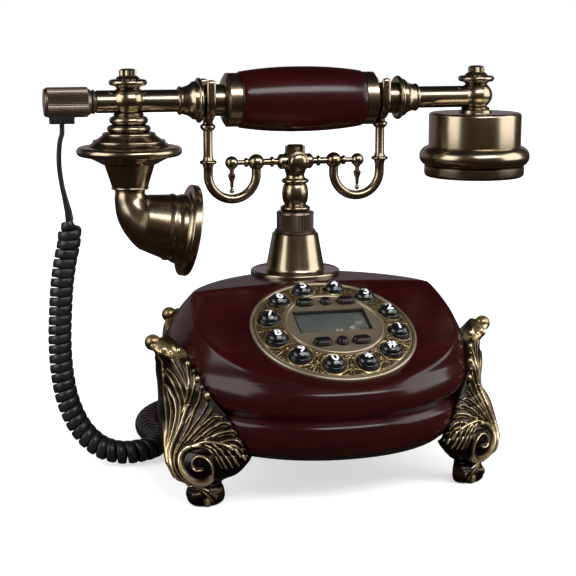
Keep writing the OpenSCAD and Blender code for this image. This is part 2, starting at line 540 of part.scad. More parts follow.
// ---------- handset ----------
grip_bore = 5;
tenon = 15;
fork_gap_end = grip_half + band_w + 11.5;   // where each neck's ring starts, from the grip's middle
module grip() color([0.22, 0.04, 0.04]) difference() {
    lying(concat([[0, grip_x - grip_half], [grip_end_r - 0.6, grip_x - grip_half]],
        [for (i = [0:12]) let (t = -1 + i / 6) [grip_end_r + (grip_r - grip_end_r) * (1 - pow(abs(t),
            2.2)), grip_x + t * (grip_half - 0.6)]],
        [[grip_end_r - 0.6, grip_x + grip_half], [0, grip_x + grip_half]]));
    lying([[0, grip_x - grip_half - 1], [grip_bore + spigot_gap, grip_x - grip_half - 1],
        [grip_bore + spigot_gap, grip_x + grip_half + 1], [0, grip_x + grip_half + 1]]);
}
// neck profile from the grip outwards, distance measured from the grip's middle
function neck_profile(reach) = let (b = grip_half, g = b + band_w, e = fork_gap_end) concat(
    [[0, b - tenon], [grip_bore, b - tenon], [grip_bore, b], [band_r - 0.4, b], [band_r, b + 0.4],
        [band_r, g - 1.6], [band_r - 2.6, g],
    [groove_r, g + 0.4], [groove_r, e - 0.4], [10.2, e - 0.2]], arc([10.3, e + 1], 1, -80, 80, 5),
    [[9.6, e + 2.3], [9.5, e + 4.2], [8.4, e + 5.2], [7.4, e + 7], [6.8, e + 9.2]],
    arc([6.3, e + 10.6], 0.9, -70, 70, 4), [[neck_r, e + 12]], reach);
spigot_r = 3.9;
knob_x = -104.3;
module neck_left() color([0.5, 0.4, 0.22]) translate([2 * grip_x, 2 * stem_y, 0]) rotate([0, 0, 180])
    lying([for (p = neck_profile([[neck_r, grip_x - knob_x - 3], [spigot_r, grip_x - knob_x - 3],
        [spigot_r, grip_x - knob_x + 6], [0, grip_x - knob_x + 6]])) [p[0], grip_x + p[1]]]);
module neck_right() color([0.5, 0.4, 0.22])
    lying([for (p = neck_profile([[neck_r, ear_x - grip_x], [0, ear_x - grip_x]])) [p[0], grip_x + p[1]]]);
knob_len = knob_x - knob_end_x;
socket_w = 11.8;
plug_d = 7.4;
module end_knob() color([0.42, 0.34, 0.2]) difference() {
    union() {
        lying(concat([[0, knob_end_x], [knob_r - 1.2, knob_end_x]],
            arc([knob_r - 1.4, knob_end_x + 1], 1, -80, 0, 4),
            [[knob_r - 0.4, knob_end_x + 1.7], [0, knob_end_x + 1.7]]));
        translate([knob_end_x + 1.6, stem_y, axis_z]) rotate([0, 90, 0])
            linear_extrude(knob_len - 3.2) polygon(fluted(knob_r, 0.3, 48));
        lying(concat([[0, knob_x - 1.7], [knob_r - 0.4, knob_x - 1.7], [knob_r - 1.4, knob_x],
            [5.1, knob_x + 0.2]],
            arc([5, knob_x + 1.3], 1, -70, 70, 4), [[5.2, knob_x + 2.5], [5.3, knob_x + 3 - 0.05],
                [0, knob_x + 3 - 0.05]]));
    }
    lying([[0, knob_x - 6.1], [spigot_r + spigot_gap, knob_x - 6.1], [spigot_r + spigot_gap, knob_x + 6],
        [0, knob_x + 6]]);
    translate([knob_end_x + 2.6, stem_y - plug_d / 2 - 0.1, axis_z - 20]) cube([socket_w + 0.2,
        plug_d + 0.2, 16.5]);
}
// barrel with its flange and button, on both ends of the handset
hub_bottom = -7.2;
hub_bore = neck_r + spigot_gap;
module handset_hub(x, through) at_axis(x) difference() {
    union() {
        turned(concat([[0, hub_bottom], [7.2, hub_bottom], [7.6, hub_bottom + 1], [7, hub_bottom + 1.6]],
            oval([0, 0.6], 8.7, 7.6, -48, 50, 10),
            [[6.4, 7.4]], arc([8, 9.3], 1.5, -80, 80, 6), [[6.2, 11], [5, 12.2], [3.9, 12.8], [0, 12.8]]));
        translate([0, 0, 12.8]) linear_extrude(2.4) polygon(fluted(4.3, 0.4, 14));
        translate([0, 0, 15.2]) turned([[0, 0], [4, 0], [3.5, 0.6], [2, 0.9], [0, 0.9]]);
    }
    rotate([0, 90, 0]) translate([0, 0, through ? -20 : -20]) cylinder(r = hub_bore,
        h = through ? 40 : 20.1, $fn = around);
}
module handset_hubs() color([0.5, 0.4, 0.22]) {
    handset_hub(mouth_x, true);
    handset_hub(ear_x, false);
}

// mouthpiece, stacked under the left barrel; heights run down from the handset axis
bell_top = hub_bottom;
cup_top = -30.9;
cup_bottom = -43.6;
capsule_bore = 6;
module mouth_bell() color([0.5, 0.4, 0.22]) at_axis(mouth_x) difference() {
    turned(concat([[0, bell_top], [7.4, bell_top]], arc([7.7, bell_top - 2], 2, 80, -80, 6),
        arc([9.2, bell_top - 6.1], 1.7, 80, -70, 6),
        [[11, -15.4], [12.4, -16], [13.6, -16.7], [16, -18.5], [18.5, -20.4], [20, -21.3], [20.6, -21.9],
            [disc_r - 3, -22.2]],
        arc([disc_r - 2.3, -24.5], 2.3, 85, -85, 8), [[20, -27.6], [17.5, -28.8], [13.6, cup_top],
            [0, cup_top]]));
    translate([0, 0, cup_top - 1]) cylinder(r = capsule_bore, h = 8, $fn = around);
}
module mouth_cup() color([0.5, 0.4, 0.22]) at_axis(mouth_x) difference() {
    turned(concat([[0, cup_top], [12.6, cup_top], [12.3, cup_top - 1], [9.2, cup_bottom + 1.8]],
        arc([8.6, cup_bottom + 0.8], 0.8, 60, -90, 5), [[0, cup_bottom]]));
    translate([0, 0, cup_bottom - 1]) cylinder(r = capsule_bore, h = 40, $fn = around);
}
// horn: pivot of the bend in the X-Z plane, measured from the mouthpiece axis and the handset axis
pivot = [8.8, -45.2];
bend_in = 1.4;
bend_out = [[0, 16.4], [20, 17.6], [45, 21], [65, 25], [80, 29.2]];
face_tilt = 10;
rim_back = [25.2, -64.7];
rim_t = 6.2;
horn_end_r = 18;
horn_wall = 1.8;
horn_sides = 28;
function horn_circle(c, r, tilt) = [for (i = [0:horn_sides - 1]) let (b = -360 * i / horn_sides)
    [mouth_x + c[0] + r * cos(b) * cos(tilt), stem_y + r * sin(b), axis_z + c[1] + r * cos(b) * sin(tilt)]];
// sections of the horn: centre, radius and tilt
horn_steps = concat([[[0, cup_bottom], 7.6, 0]],
    [for (a = [0:10:80]) let (out = lookup(a, bend_out), m = (bend_in + out) / 2)
        [pivot - m * [cos(a), sin(a)], (out - bend_in) / 2, a]],
    [for (t = [0.5, 1]) let (m = (bend_in + lookup(80, bend_out)) / 2, c = pivot - m * [cos(80), sin(80)])
        [c + (rim_back - c) * t, (lookup(80, bend_out) - bend_in) / 2 * (1 - t) + horn_end_r * t, 80]]);
module horn_elbow() color([0.5, 0.4, 0.22]) {
    n = horn_sides;
    rows = len(horn_steps);
    outer = [for (h = horn_steps) horn_circle(h[0], h[1], h[2])];
    inner = [for (h = horn_steps) horn_circle(h[0], h[1] - horn_wall, h[2])];
    side = [for (j = [0:rows - 2], i = [0:n - 1]) let (k = (i + 1) % n) [[j * n + i, j * n + k,
        (j + 1) * n + k], [j * n + i, (j + 1) * n + k, (j + 1) * n + i]]];
    faces_out = [for (q = side, t = q) t];
    faces_in = [for (q = side, t = q) [for (m = [2:-1:0]) t[m] + rows * n]];
    ends = [for (i = [0:n - 1]) let (k = (i + 1) % n, e = (rows - 1) * n, f = rows * n) each [
        [i, f + k, k], [i, f + i, f + k], [e + i, e + k, e + f + k], [e + i, e + f + k, e + f + i]]];
    polyhedron([for (ring = concat(outer, inner), p = ring) p], concat(faces_out, faces_in, ends),
        convexity = 8);
}
module at_rim() translate([mouth_x + rim_back[0], stem_y, axis_z + rim_back[1]]) rotate([0, 90 + face_tilt,
    0]) children();
module horn_rim() color([0.5, 0.4, 0.22]) at_rim() difference() {
    turned(concat([[0, 0.05], [horn_end_r - 0.5, 0.05], [horn_end_r + 1, 0.6], [horn_end_r + 2, 1.6],
        [horn_rim_r - 0.8, 2]],
        arc([horn_rim_r - 0.8, 2.8], 0.8, -80, 0, 4), arc([horn_rim_r - 1, rim_t - 1], 1, 0, 90, 5),
            [[0, rim_t]]));
    translate([0, 0, -1]) cylinder(r = horn_end_r - 2, h = rim_t + 2, $fn = around);
    translate([0, 0, rim_t - 2]) cylinder(r = horn_rim_r - 2.2, h = 4, $fn = around);
}
module mouth_grille() color([0.45, 0.36, 0.2]) at_rim() translate([0, 0, rim_t - 2]) difference() {
    turned([[0, 0], [horn_rim_r - 2.4, 0], [horn_rim_r - 2.4, 1.4], [horn_rim_r - 3.4, 1.8], [0, 2.2]]);
    translate([0, 0, -1]) cylinder(r = 1.1, h = 5, $fn = 24);
    for (ring = [[5, 6], [10, 12], [15, 18]], i = [1:ring[1]]) rotate(360 *
        i / ring[1]) translate([ring[0], 0, -1])
        cylinder(r = 1.1, h = 5, $fn = 24);
}
module microphone() color([0.6, 0.6, 0.6]) at_rim() translate([0, 0, -2]) turned([[0, 0],
    [horn_end_r - 3.5, 0], [horn_end_r - 2.4, 2.4], [horn_end_r - 2.4, rim_t - 1.8],
    [horn_end_r - 4, rim_t - 0.2], [0, rim_t - 0.2]]);

// earpiece, hanging under the right barrel
ear_top = -8.4;
ear_seam = -36.6;
ear_bottom = -42.2;
module ear_cup() color([0.5, 0.4, 0.22]) at_axis(ear_x) difference() {
    turned(concat([[0, hub_bottom], [8.6, hub_bottom], [8.8, ear_top]],
        arc([ear_cup_r - 1.6, ear_top - 1.6], 1.6, 90, 0, 5),
        [[ear_cup_r, -26]], arc([ear_ring_r - 5.3, -31.3], 5.3, 84, -78, 12),
            [[ear_cup_r + 0.6, ear_seam], [0, ear_seam]]));
    translate([0, 0, ear_seam - 1]) cylinder(r = ear_cup_r - 2.4, h = ear_top - ear_seam - 1.4,
        $fn = around);
}
module ear_cap() color([0.5, 0.4, 0.22]) at_axis(ear_x) difference() {
    turned(concat([[0, ear_seam], [ear_cap_r, ear_seam], [ear_cap_r, ear_bottom + 2]],
        arc([ear_cap_r - 2, ear_bottom + 2], 2, 0, -90, 6), [[0, ear_bottom]]));
    translate([0, 0, ear_bottom + 2.2]) cylinder(r = ear_cup_r - 2.4, h = 10, $fn = around);
    translate([0, 0, ear_bottom - 1]) turned([[0, 0], [12, 0], [10, 2.2], [0, 2.6]]);
    for (ring = [[4, 6], [8, 10]], i = [1:ring[1]]) rotate(360 * i / ring[1]) translate([ring[0], 0,
        ear_bottom - 1])
        cylinder(r = 0.9, h = 6, $fn = 24);
}
module ear_speaker() color([0.6, 0.6, 0.6]) at_axis(ear_x) translate([0, 0,
    ear_bottom + 2.3]) turned([[0, 0],
    [ear_cup_r - 2.7, 0], [ear_cup_r - 2.7, 3], [14, 8], [14, 13], [0, 13]]);

// ---------- cord ----------
plug_x = knob_end_x + 2.7 + socket_w / 2;
plug_show = 3;
plug_bottom = axis_z - knob_r - plug_show;
module cord_plug_top() color([0.1, 0.1, 0.1]) translate([plug_x, stem_y, 0]) {
    difference() {
        translate([-socket_w / 2, -plug_d / 2, plug_bottom]) cube([socket_w, plug_d,
            axis_z - 3.6 - plug_bottom]);
        for (i = [-2:2], s = [-1, 1]) translate([2.2 * i - 0.5, s * plug_d / 2 - 0.6, plug_bottom - 1])
            cube([1, 1.2, plug_show]);
    }
}
base_plug_y = back_wall_y + 6;
module cord_plug_base() color([0.1, 0.1, 0.1]) translate([-jack_x, 0, jack_z]) {
    translate([-4.8, back_wall_y - 10, -3.8]) cube([9.6, 15, 7.6]);
    translate([0, base_plug_y - 1, 0]) rotate([-90, 0, 0]) cylinder(r1 = 3, r2 = 2.2, h = 6, $fn = 32);
}
// route of the cord's middle line: straight lead, hanging curls, curls on the table, lead to the jack
lead_end = 7;                        // route point where the curls start
coil_end = 28;                       // route point where they stop
route = [[plug_x, stem_y, plug_bottom], [plug_x, stem_y, plug_bottom - 2.5],
    [plug_x - 0.1, stem_y, plug_bottom - 5], [-119.8, 36, 163], [-120.4, 36, 153],
    [-119.4, 36, 143], [-117.6, 36, 134], [-116, 36, 125], [-116.6, 36, 114], [-118.6, 36, 105],
        [-120.6, 36, 93],
    [-121.8, 36, 79], [-122.6, 35.4, 63], [-122, 34, 47], [-119.4, 31.5, 32], [-113.6, 28.5, 19],
        [-105, 25.4, 10.4],
    [-95, 23, 7.1], [-85, 24, 6.8], [-76.6, 29.6, 6.8], [-73, 39.4, 6.8], [-73.6, 51, 6.8], [-75, 64, 6.8],
    [-72.6, 78, 6.8], [-66, 91, 6.8], [-55.6, 100.6, 6.8], [-42, 106.6, 6.8], [-28, 108, 7.6],
        [-17, 106, 12], [-11, 101, 20],
    [-jack_x, 95, 29], [-jack_x, base_plug_y + 7.5, jack_z], [-jack_x, base_plug_y + 5, jack_z]];
function spline(p, i, t) = let (n = len(p) - 1, a = p[max(i - 1, 0)], b = p[i], c = p[min(i + 1, n)],
    d = p[min(i + 2, n)])
    0.5 * (2 * b + (c - a) * t + (2 * a - 5 * b + 4 * c - d) * t * t + (3 * b - a - 3 * c + d) * t * t * t);
fine = 6;
line = [for (i = [0:len(route) - 2], k = [0:fine - 1]) spline(route, i, k / fine), route[len(route) - 1]];
run = [for (i = 0, s = 0; i < len(line); s = s + (i + 1 < len(line) ? norm(line[i + 1] - line[i]) : 0),
    i = i + 1) [s, i]];
total = run[len(run) - 1][0];
coil_from = run[lead_end * fine][0];
coil_to = run[coil_end * fine][0];
function unit(v) = v / max(1e-9, norm(v));
function place(s) = let (q = lookup(s, run), i = min(floor(q),
    len(line) - 2)) line[i] + (line[i + 1] - line[i]) * (q - i);
function along(s) = unit(place(min(total, s + 1.5)) - place(max(0, s - 1.5)));
ring_step = coil_pitch / 8;
lead_step = 5;
stations = concat([0, (wire_w + wire_t) / 2], [for (s = [lead_step + 1:lead_step:coil_from - 1]) s],
    [for (s = [coil_from:ring_step:coil_to]) s], [for (s = [coil_to + 3:lead_step:total - 4]) s],
        [total - wire_w, total]);
// frames carried along the line without twist
frames = [for (i = 0, t = along(0), u = [0, 1, 0]; i < len(stations);
    t = along(stations[min(i + 1, len(stations) - 1)]), u = unit(u - (u * t) * t), i = i + 1) [t, u,
        cross(t, u)]];
function ease(x) = let (c = min(1, max(0, x))) c * c * (3 - 2 * c);
function coil_rad(s) = (coil_r - wire_t / 2) * ease((s - coil_from) / 6) * ease((coil_to - s) / 6);
function wire_centre(i) = let (s = stations[i], f = frames[i], a = 360 * (s - coil_from) / coil_pitch)
    place(s) + coil_rad(s) * (cos(a) * f[1] + sin(a) * f[2]);
centres = [for (i = [0:len(stations) - 1]) wire_centre(i)];
function wire_ring(i) =
    let (s = stations[i], f = frames[i], last = len(stations) - 1,
         a = s < coil_from ? 0 : 360 * (min(s, coil_to) - coil_from) / coil_pitch,
         t = unit(centres[min(i + 1, last)] - centres[max(i - 1, 0)]),
         wide = unit(cross(t, cos(a) * f[1] + sin(a) * f[2])), out = cross(wide, t))
    [for (k = [0:5]) let (b = 60 * k) centres[i] + wire_t / 2 * cos(b) * out + wire_w / 2 * sin(b) * wide];
wire_rings = [for (i = [0:len(stations) - 1]) wire_ring(i)];
wire_length = [for (i = 1, s = 0; i < len(centres); s = s + norm(centres[i] - centres[i - 1]),
    i = i + 1) s][len(centres) - 2];
near_gap = min([for (i = [0:len(stations) - 10], j = [6:9], p = wire_rings[i], q = wire_rings[i + j])
    if (stations[i] > coil_from) norm(p - q)]);
far_gap = min([for (i = [0:3:len(stations) - 14], j = [i + 12:3:len(stations)
    - 1]) norm(centres[i] - centres[j])]) - wire_w;
module handset_cord() color([0.08, 0.08, 0.08]) {
    echo(cord_length = wire_length, curls = (coil_to - coil_from) / coil_pitch,
        least_gap = min(near_gap, far_gap), near_gap, far_gap);
    stack([for (ring = wire_rings) ring]);
}

body_shell();
base_plate();
fasteners();
leg(-1, false);  // leg_front_left
leg(1, false);  // leg_front_right
leg(-1, true);  // leg_back_left
leg(1, true);  // leg_back_right
dial_plate();
lcd_window();
lcd_panel();
keypad_mat();
circuit_board();
digit_key(0);  // key_4
digit_key(1);  // key_3
digit_key(2);  // key_2
digit_key(3);  // key_1
digit_key(4);  // key_hash
digit_key(5);  // key_star
digit_key(6);  // key_0
digit_key(7);  // key_9
digit_key(8);  // key_8
digit_key(9);  // key_7
digit_key(10);  // key_6
digit_key(11);  // key_5
function_key(0);  // function_key_1
function_key(1);  // function_key_2
function_key(2);  // function_key_3
function_key(3);  // function_key_4
function_key(4);  // function_key_5
function_key(5);  // function_key_6
ringer_speaker();
hook_switch();
line_jack();
cord_jack();
stem_flange();
stem_cone();
stem_collar();
return_spring();
cradle_post();
cradle_hub();
hook_left();
hook_right();
grip();
neck_left();
neck_right();
end_knob();
handset_hubs();
mouth_bell();
mouth_cup();
horn_elbow();
horn_rim();
mouth_grille();
microphone();
ear_cup();
ear_cap();
ear_speaker();
handset_cord();
cord_plug_top();
cord_plug_base();
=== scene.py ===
"""Cradle telephone: lacquered base, cast brass legs and dial, turned handset, curly cord and a plain studio."""
import json
import math
from functools import cache

import bmesh
import bpy
import numpy as np
from bpy.props import FloatProperty, FloatVectorProperty, IntProperty, PointerProperty
from mathutils import Matrix, Vector


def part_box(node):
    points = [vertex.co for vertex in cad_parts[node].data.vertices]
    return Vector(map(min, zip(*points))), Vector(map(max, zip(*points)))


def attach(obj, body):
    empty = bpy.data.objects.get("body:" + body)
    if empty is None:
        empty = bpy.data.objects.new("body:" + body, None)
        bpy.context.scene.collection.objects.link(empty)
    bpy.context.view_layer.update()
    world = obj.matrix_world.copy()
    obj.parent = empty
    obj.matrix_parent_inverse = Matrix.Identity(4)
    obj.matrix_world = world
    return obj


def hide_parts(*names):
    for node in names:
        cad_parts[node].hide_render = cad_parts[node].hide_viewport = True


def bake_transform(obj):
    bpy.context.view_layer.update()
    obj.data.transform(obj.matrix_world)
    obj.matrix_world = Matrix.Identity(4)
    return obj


bl_info = {
    "name": "Cradle telephone",
    "version": (1, 0, 0),
    "blender": (4, 5, 0),
    "location": "View3D > Sidebar > Telephone",
    "description": "Dresses a cradle telephone's solids with smooth shapes, relief and finishes",
    "category": "Object",
}

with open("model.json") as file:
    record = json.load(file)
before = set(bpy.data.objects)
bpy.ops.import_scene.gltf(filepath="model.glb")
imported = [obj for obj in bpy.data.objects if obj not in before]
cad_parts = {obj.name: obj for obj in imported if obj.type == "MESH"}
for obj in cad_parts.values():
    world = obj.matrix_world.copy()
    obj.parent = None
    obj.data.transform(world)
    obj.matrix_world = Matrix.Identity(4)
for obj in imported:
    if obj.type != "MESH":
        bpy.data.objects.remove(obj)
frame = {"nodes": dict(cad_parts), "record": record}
NODES = frame["nodes"]
BODY_OF = {n: b for b, members in frame["record"]["behaviour"]["bodies"].items() for n in members}
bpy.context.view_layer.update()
MM = 0.001
WELD = 1e-6  # metres within which points become one

# sizes shared with the solids, in millimetres and degrees
BODY_W, BODY_D = 152.0, 154.0
BASE_Z, GROOVE_Z, TOP_Z, TOP_CROWN = 25.0, 44.0, 91.7, 1.6
CREASE_Y, DIAL_TILT, DIAL_DOWN = 2.2, 23.2, 38.3  # where the slope starts, its angle, the dial's middle down it
DIAL_R, RIM_H, INNER_RING_R, INNER_RING_H = 40.2, 1.5, 23.3, 4.9
KEY_RING_R, KEY_R, KEY_STEP = 30.9, 5.1, 30  # the last is the angle from key to key
LCD_W, LCD_H, LCD_Y, LCD_TOP = 36.0, 17.6, 3.2, 2.8
STEM_Y, AXIS_Z, MOUTH_X = 36.0, 182.7, -85.5  # the stem, the handset's axis and the mouthpiece
LEG_GAP, REAR_TURN = 0.25, 26.0  # a leg's stand-off from the wood, and how far round a rear leg is turned
FORK_X, FORK_R, FORK_T, FORK_W, FORK_RISE = 45.6, 9.8, 3.0, 4.6, 10.5  # R is to the middle of the bar
# from the dial's own frame, along its slope, to the telephone's
DIAL_PLACE = (Matrix.Translation((0, CREASE_Y * MM, TOP_Z * MM))
              @ Matrix.Rotation(math.radians(DIAL_TILT), 4, "X") @ Matrix.Translation((0, -DIAL_DOWN * MM, 0)))


# ---------------------------------------------------------------- small tools
def srgb(code):
    """Linear red, green, blue and alpha of an sRGB hex colour."""
    parts = [int(code[i : i + 2], 16) / 255 for i in (1, 3, 5)]
    return tuple(c / 12.92 if c <= 0.04045 else ((c + 0.055) / 1.055) ** 2.4 for c in parts) + (1.0,)


def add(material, kind, links=(), values=(), **settings):
    """Adds a node with its settings, its fixed socket values and the sockets that feed it."""
    tree = material.node_tree
    node = tree.nodes.new(kind)
    for name, value in settings.items():
        setattr(node, name, value)
    for socket, value in values:
        node.inputs[socket].default_value = value
    for socket, source in links:
        tree.links.new(source, node.inputs[socket])
    return node


def fade(x, low, high):
    """Eases from 0 at low to 1 at high."""
    t = np.clip((x - low) / (high - low), 0, 1)
    return t * t * (3 - 2 * t)


def hump(x, width):
    """A smooth rise to 1 about x = 0."""
    return np.exp(-((x / width) ** 2))


def unit(v):
    return v / np.maximum(np.linalg.norm(v, axis=-1, keepdims=True), 1e-9)


def towards(a, r, z):
    """Places at a distance r from the middle and an angle a in degrees from the front to the right."""
    return np.stack([r * np.sin(np.radians(a)), -r * np.cos(np.radians(a)), z + 0 * r], axis=-1)


def run_along(points):
    """How far along its line each point lies."""
    return np.concatenate([[0], np.cumsum(np.linalg.norm(np.diff(points, axis=0), axis=1))])


def halved(low, high, beyond):
    """Where beyond() turns true between low and high, by halving."""
    for _ in range(40):
        middle = (low + high) / 2
        low, high = (low, middle) if beyond(middle) else (middle, high)
    return middle


def spline(points, steps):
    """Points on a smooth curve through a few points, where steps() gives a span's count from its length."""
    p = np.array(points, float)
    out = []
    for i in range(len(p) - 1):
        a, b, c, d = p[max(i - 1, 0)], p[i], p[i + 1], p[min(i + 2, len(p) - 1)]
        t = np.linspace(0, 1, steps(np.linalg.norm(c - b)), endpoint=False)[:, None]
        bent, eased = 2 * a - 5 * b + 4 * c - d, 3 * b - a - 3 * c + d
        out.append(0.5 * (2 * b + (c - a) * t + bent * t**2 + eased * t**3))
    return np.concatenate(out + [p[-1:]])


def curve_table(table):
    """A smooth rising or falling curve through (height, value) rows: a cubic with monotone slopes."""
    x, y = np.array(table, float).T
    step, rise = np.diff(x), np.diff(y) / np.diff(x)
    slope = np.zeros_like(x)
    slope[0], slope[-1] = rise[0], rise[-1]
    for i in range(1, len(x) - 1):
        if rise[i - 1] * rise[i] > 0:
            w1, w2 = 2 * step[i] + step[i - 1], step[i] + 2 * step[i - 1]
            slope[i] = (w1 + w2) / (w1 / rise[i - 1] + w2 / rise[i])

    def value(z):
        z = np.clip(z, x[0], x[-1])
        i = np.clip(np.searchsorted(x, z, side="right") - 1, 0, len(x) - 2)
        t = (z - x[i]) / step[i]
        return (y[i] * (1 + 2 * t) * (1 - t) ** 2 + slope[i] * step[i] * t * (1 - t) ** 2
                + y[i + 1] * t * t * (3 - 2 * t) + slope[i + 1] * step[i] * t * t * (t - 1))

    return value


def section(sides, power):
    """A closed, rounded flat section, as shares of half its thickness and half its width."""
    b = np.linspace(0, 2 * math.pi, sides + 1)
    return [np.sign(f) * np.abs(f) ** power for f in (np.cos(b), np.sin(b))]


# ---------------------------------------------------------------- pieces
def new_piece(name, mesh, material, body=None, replaces=()):
    """Links a mesh as a piece that rides on a body and may stand for CAD nodes."""
    piece = bpy.data.objects.new(name, mesh)
    bpy.context.scene.collection.objects.link(piece)
    mesh.materials.clear()
    mesh.materials.append(material)
    if replaces:
        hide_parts(*replaces)
    if body:
        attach(piece, body)
    return piece


def to_mesh(bm, name, smooth=True, sharp=None):
    """Turns a bmesh into a mesh, smooth-shaded, with edges over the sharp angle kept crisp."""
    for face in bm.faces:
        face.smooth = smooth
    if sharp is not None:
        for edge in bm.edges:
            edge.smooth = not (len(edge.link_faces) == 2 and edge.calc_face_angle(0) > math.radians(sharp))
    mesh = bpy.data.meshes.new(name)
    bm.to_mesh(mesh)
    bm.free()
    return mesh


def dress(node, material, sharp=32, edge=None):
    """Stands a welded, smooth-shaded copy of a CAD node in its place, with its finish and rounded edges."""
    bm = bmesh.new()
    bm.from_mesh(NODES[node].data)
    bmesh.ops.remove_doubles(bm, verts=bm.verts, dist=2 * WELD)
    bmesh.ops.dissolve_limit(bm, angle_limit=math.radians(0.5), verts=bm.verts, edges=bm.edges)
    name = node + "_finish"
    piece = new_piece(name, to_mesh(bm, name, sharp=sharp), material, BODY_OF[node], (node,))
    if edge:
        bevel = piece.modifiers.new("edges", "BEVEL")
        bevel.width = edge * MM
        bevel.segments = 2
        bevel.limit_method = "ANGLE"
        bevel.angle_limit = math.radians(35)
    return piece


def lathe(profile, sides):
    """A turned shape about z, in metres, from (radius, height) points in millimetres."""
    bm = bmesh.new()
    verts = [bm.verts.new((r * MM, 0, z * MM)) for r, z in profile]
    edges = [bm.edges.new(pair) for pair in zip(verts, verts[1:])]
    bmesh.ops.spin(bm, geom=verts + edges, cent=(0, 0, 0), axis=(0, 0, 1), angle=2 * math.pi, steps=sides,
                   use_merge=True)
    bmesh.ops.remove_doubles(bm, verts=bm.verts, dist=WELD)
    bmesh.ops.recalc_face_normals(bm, faces=bm.faces)
    return bm


def grid_piece(bm, points):
    """Adds a grid of quads whose vertices stand at an array of points (rows, columns, 3), in millimetres."""
    rows, cols = points.shape[:2]
    verts = bmesh.ops.create_grid(bm, x_segments=cols - 1, y_segments=rows - 1, size=1)["verts"]
    for vert, place in zip(verts, points.reshape(-1, 3) * MM):
        vert.co = place
    return verts


def rubbed_grid(bm, points, wear_and_highlight):
    """Adds a grid of quads with how far each point is rubbed bright: its points, and that attribute."""
    layer = bm.verts.layers.float.new("wear_and_highlight")
    verts = grid_piece(bm, points)
    for vert, value in zip(verts, wear_and_highlight.reshape(-1)):
        vert[layer] = value
    return verts, layer


def close(bm, dist=WELD):
    """Welds a shape's seams, caps its open ends and turns its faces outward."""
    bmesh.ops.remove_doubles(bm, verts=bm.verts, dist=dist)
    bmesh.ops.holes_fill(bm, edges=[e for e in bm.edges if e.is_boundary], sides=0)
    bmesh.ops.recalc_face_normals(bm, faces=bm.faces)


def cut(piece, cutter):
    """Takes the cutter's shape out of a piece, once and for all."""
    boolean = piece.modifiers.new("cut", "BOOLEAN")
    boolean.operation = "DIFFERENCE"
    boolean.solver = "EXACT"
    boolean.object = cutter
    shaped = bpy.data.meshes.new_from_object(piece.evaluated_get(bpy.context.evaluated_depsgraph_get()))
    piece.modifiers.clear()
    piece.data = shaped
    bpy.data.objects.remove(cutter)


# ---------------------------------------------------------------- the body's wall
# insets from the wall's greatest width and depth, as (height, inset) rows
TOP_INSET, FRONT_POWER = 14.7, 2.1
SIDE_INSET = curve_table([
    (BASE_Z, 9), (BASE_Z + 1, 7.4), (BASE_Z + 4, 4), (BASE_Z + 10, 1.6), (GROOVE_Z - 4, 2), (GROOVE_Z - 1, 4.2),
    (GROOVE_Z, 5.4), (GROOVE_Z + 1, 4.2), (GROOVE_Z + 4, 1.4), (GROOVE_Z + 10, 0), (GROOVE_Z + 18, 1),
    (GROOVE_Z + 26, 3.2), (TOP_Z - 14.7, 6.8), (TOP_Z - 6.7, 11.3), (TOP_Z, TOP_INSET), (TOP_Z + 2.5, 16.2)])
PLINTH = [(BASE_Z, 8.6), (BASE_Z + 1, 7), (BASE_Z + 4, 3.8), (BASE_Z + 10, 0.9), (GROOVE_Z - 4, 1.2),
          (GROOVE_Z - 1, 3.4), (GROOVE_Z, 4.6), (GROOVE_Z + 1, 3.4), (GROOVE_Z + 4, 0.8)]
FRONT_INSET = curve_table(PLINTH + [
    (GROOVE_Z + 8, 0), (GROOVE_Z + 12, 0.8), (GROOVE_Z + 15, 3), (GROOVE_Z + 17, 4.6), (GROOVE_Z + 20, 5),
    (TOP_Z + 2.5, 5)])
BACK_INSET = curve_table(PLINTH + [
    (GROOVE_Z + 10, 0), (GROOVE_Z + 18, 0.5), (GROOVE_Z + 26, 2), (TOP_Z - 11.7, 6), (TOP_Z - 3.7, 14),
    (TOP_Z - 0.7, 22), (TOP_Z + 0.3, 28), (TOP_Z + 2.5, 42)])
BACK_POWER = curve_table([(GROOVE_Z + 18, 2.1), (TOP_Z - 11.7, 2), (TOP_Z - 3.7, 1.7), (TOP_Z + 0.3, 1.5)])


def wall_r(a, z):
    """Distance from the body's middle to its wall, at an angle a in degrees from the front to the right."""
    front = np.cos(np.radians(a)) > 0
    w = BODY_W / 2 - SIDE_INSET(z)
    d = BODY_D / 2 - np.where(front, FRONT_INSET(z), BACK_INSET(z))
    p = np.where(front, FRONT_POWER, BACK_POWER(z))
    s, c = np.abs(np.sin(np.radians(a))), np.abs(np.cos(np.radians(a)))
    return ((s / w) ** p + (c / d) ** p) ** (-1 / p)


def top_height(x, y):
    """Height of the crowned top face and of the dial slope that cuts it."""
    crown_r = ((BODY_W / 2 - TOP_INSET) ** 2 + TOP_CROWN**2) / (2 * TOP_CROWN)
    crown = TOP_Z + TOP_CROWN - crown_r + np.sqrt(crown_r**2 - x * x)
    slope = TOP_Z + (y - CREASE_Y) * math.tan(math.radians(DIAL_TILT))
    return crown, slope


# ---------------------------------------------------------------- materials
def new_material(name):
    material = bpy.data.materials.new(name)
    material.use_nodes = True
    material.node_tree.nodes.clear()
    return material


def output(m, shader):
    add(m, "ShaderNodeOutputMaterial", [("Surface", shader.outputs[0])])
    return m


def surface(m, links, values):
    return output(m, add(m, "ShaderNodeBsdfPrincipled", links, values))


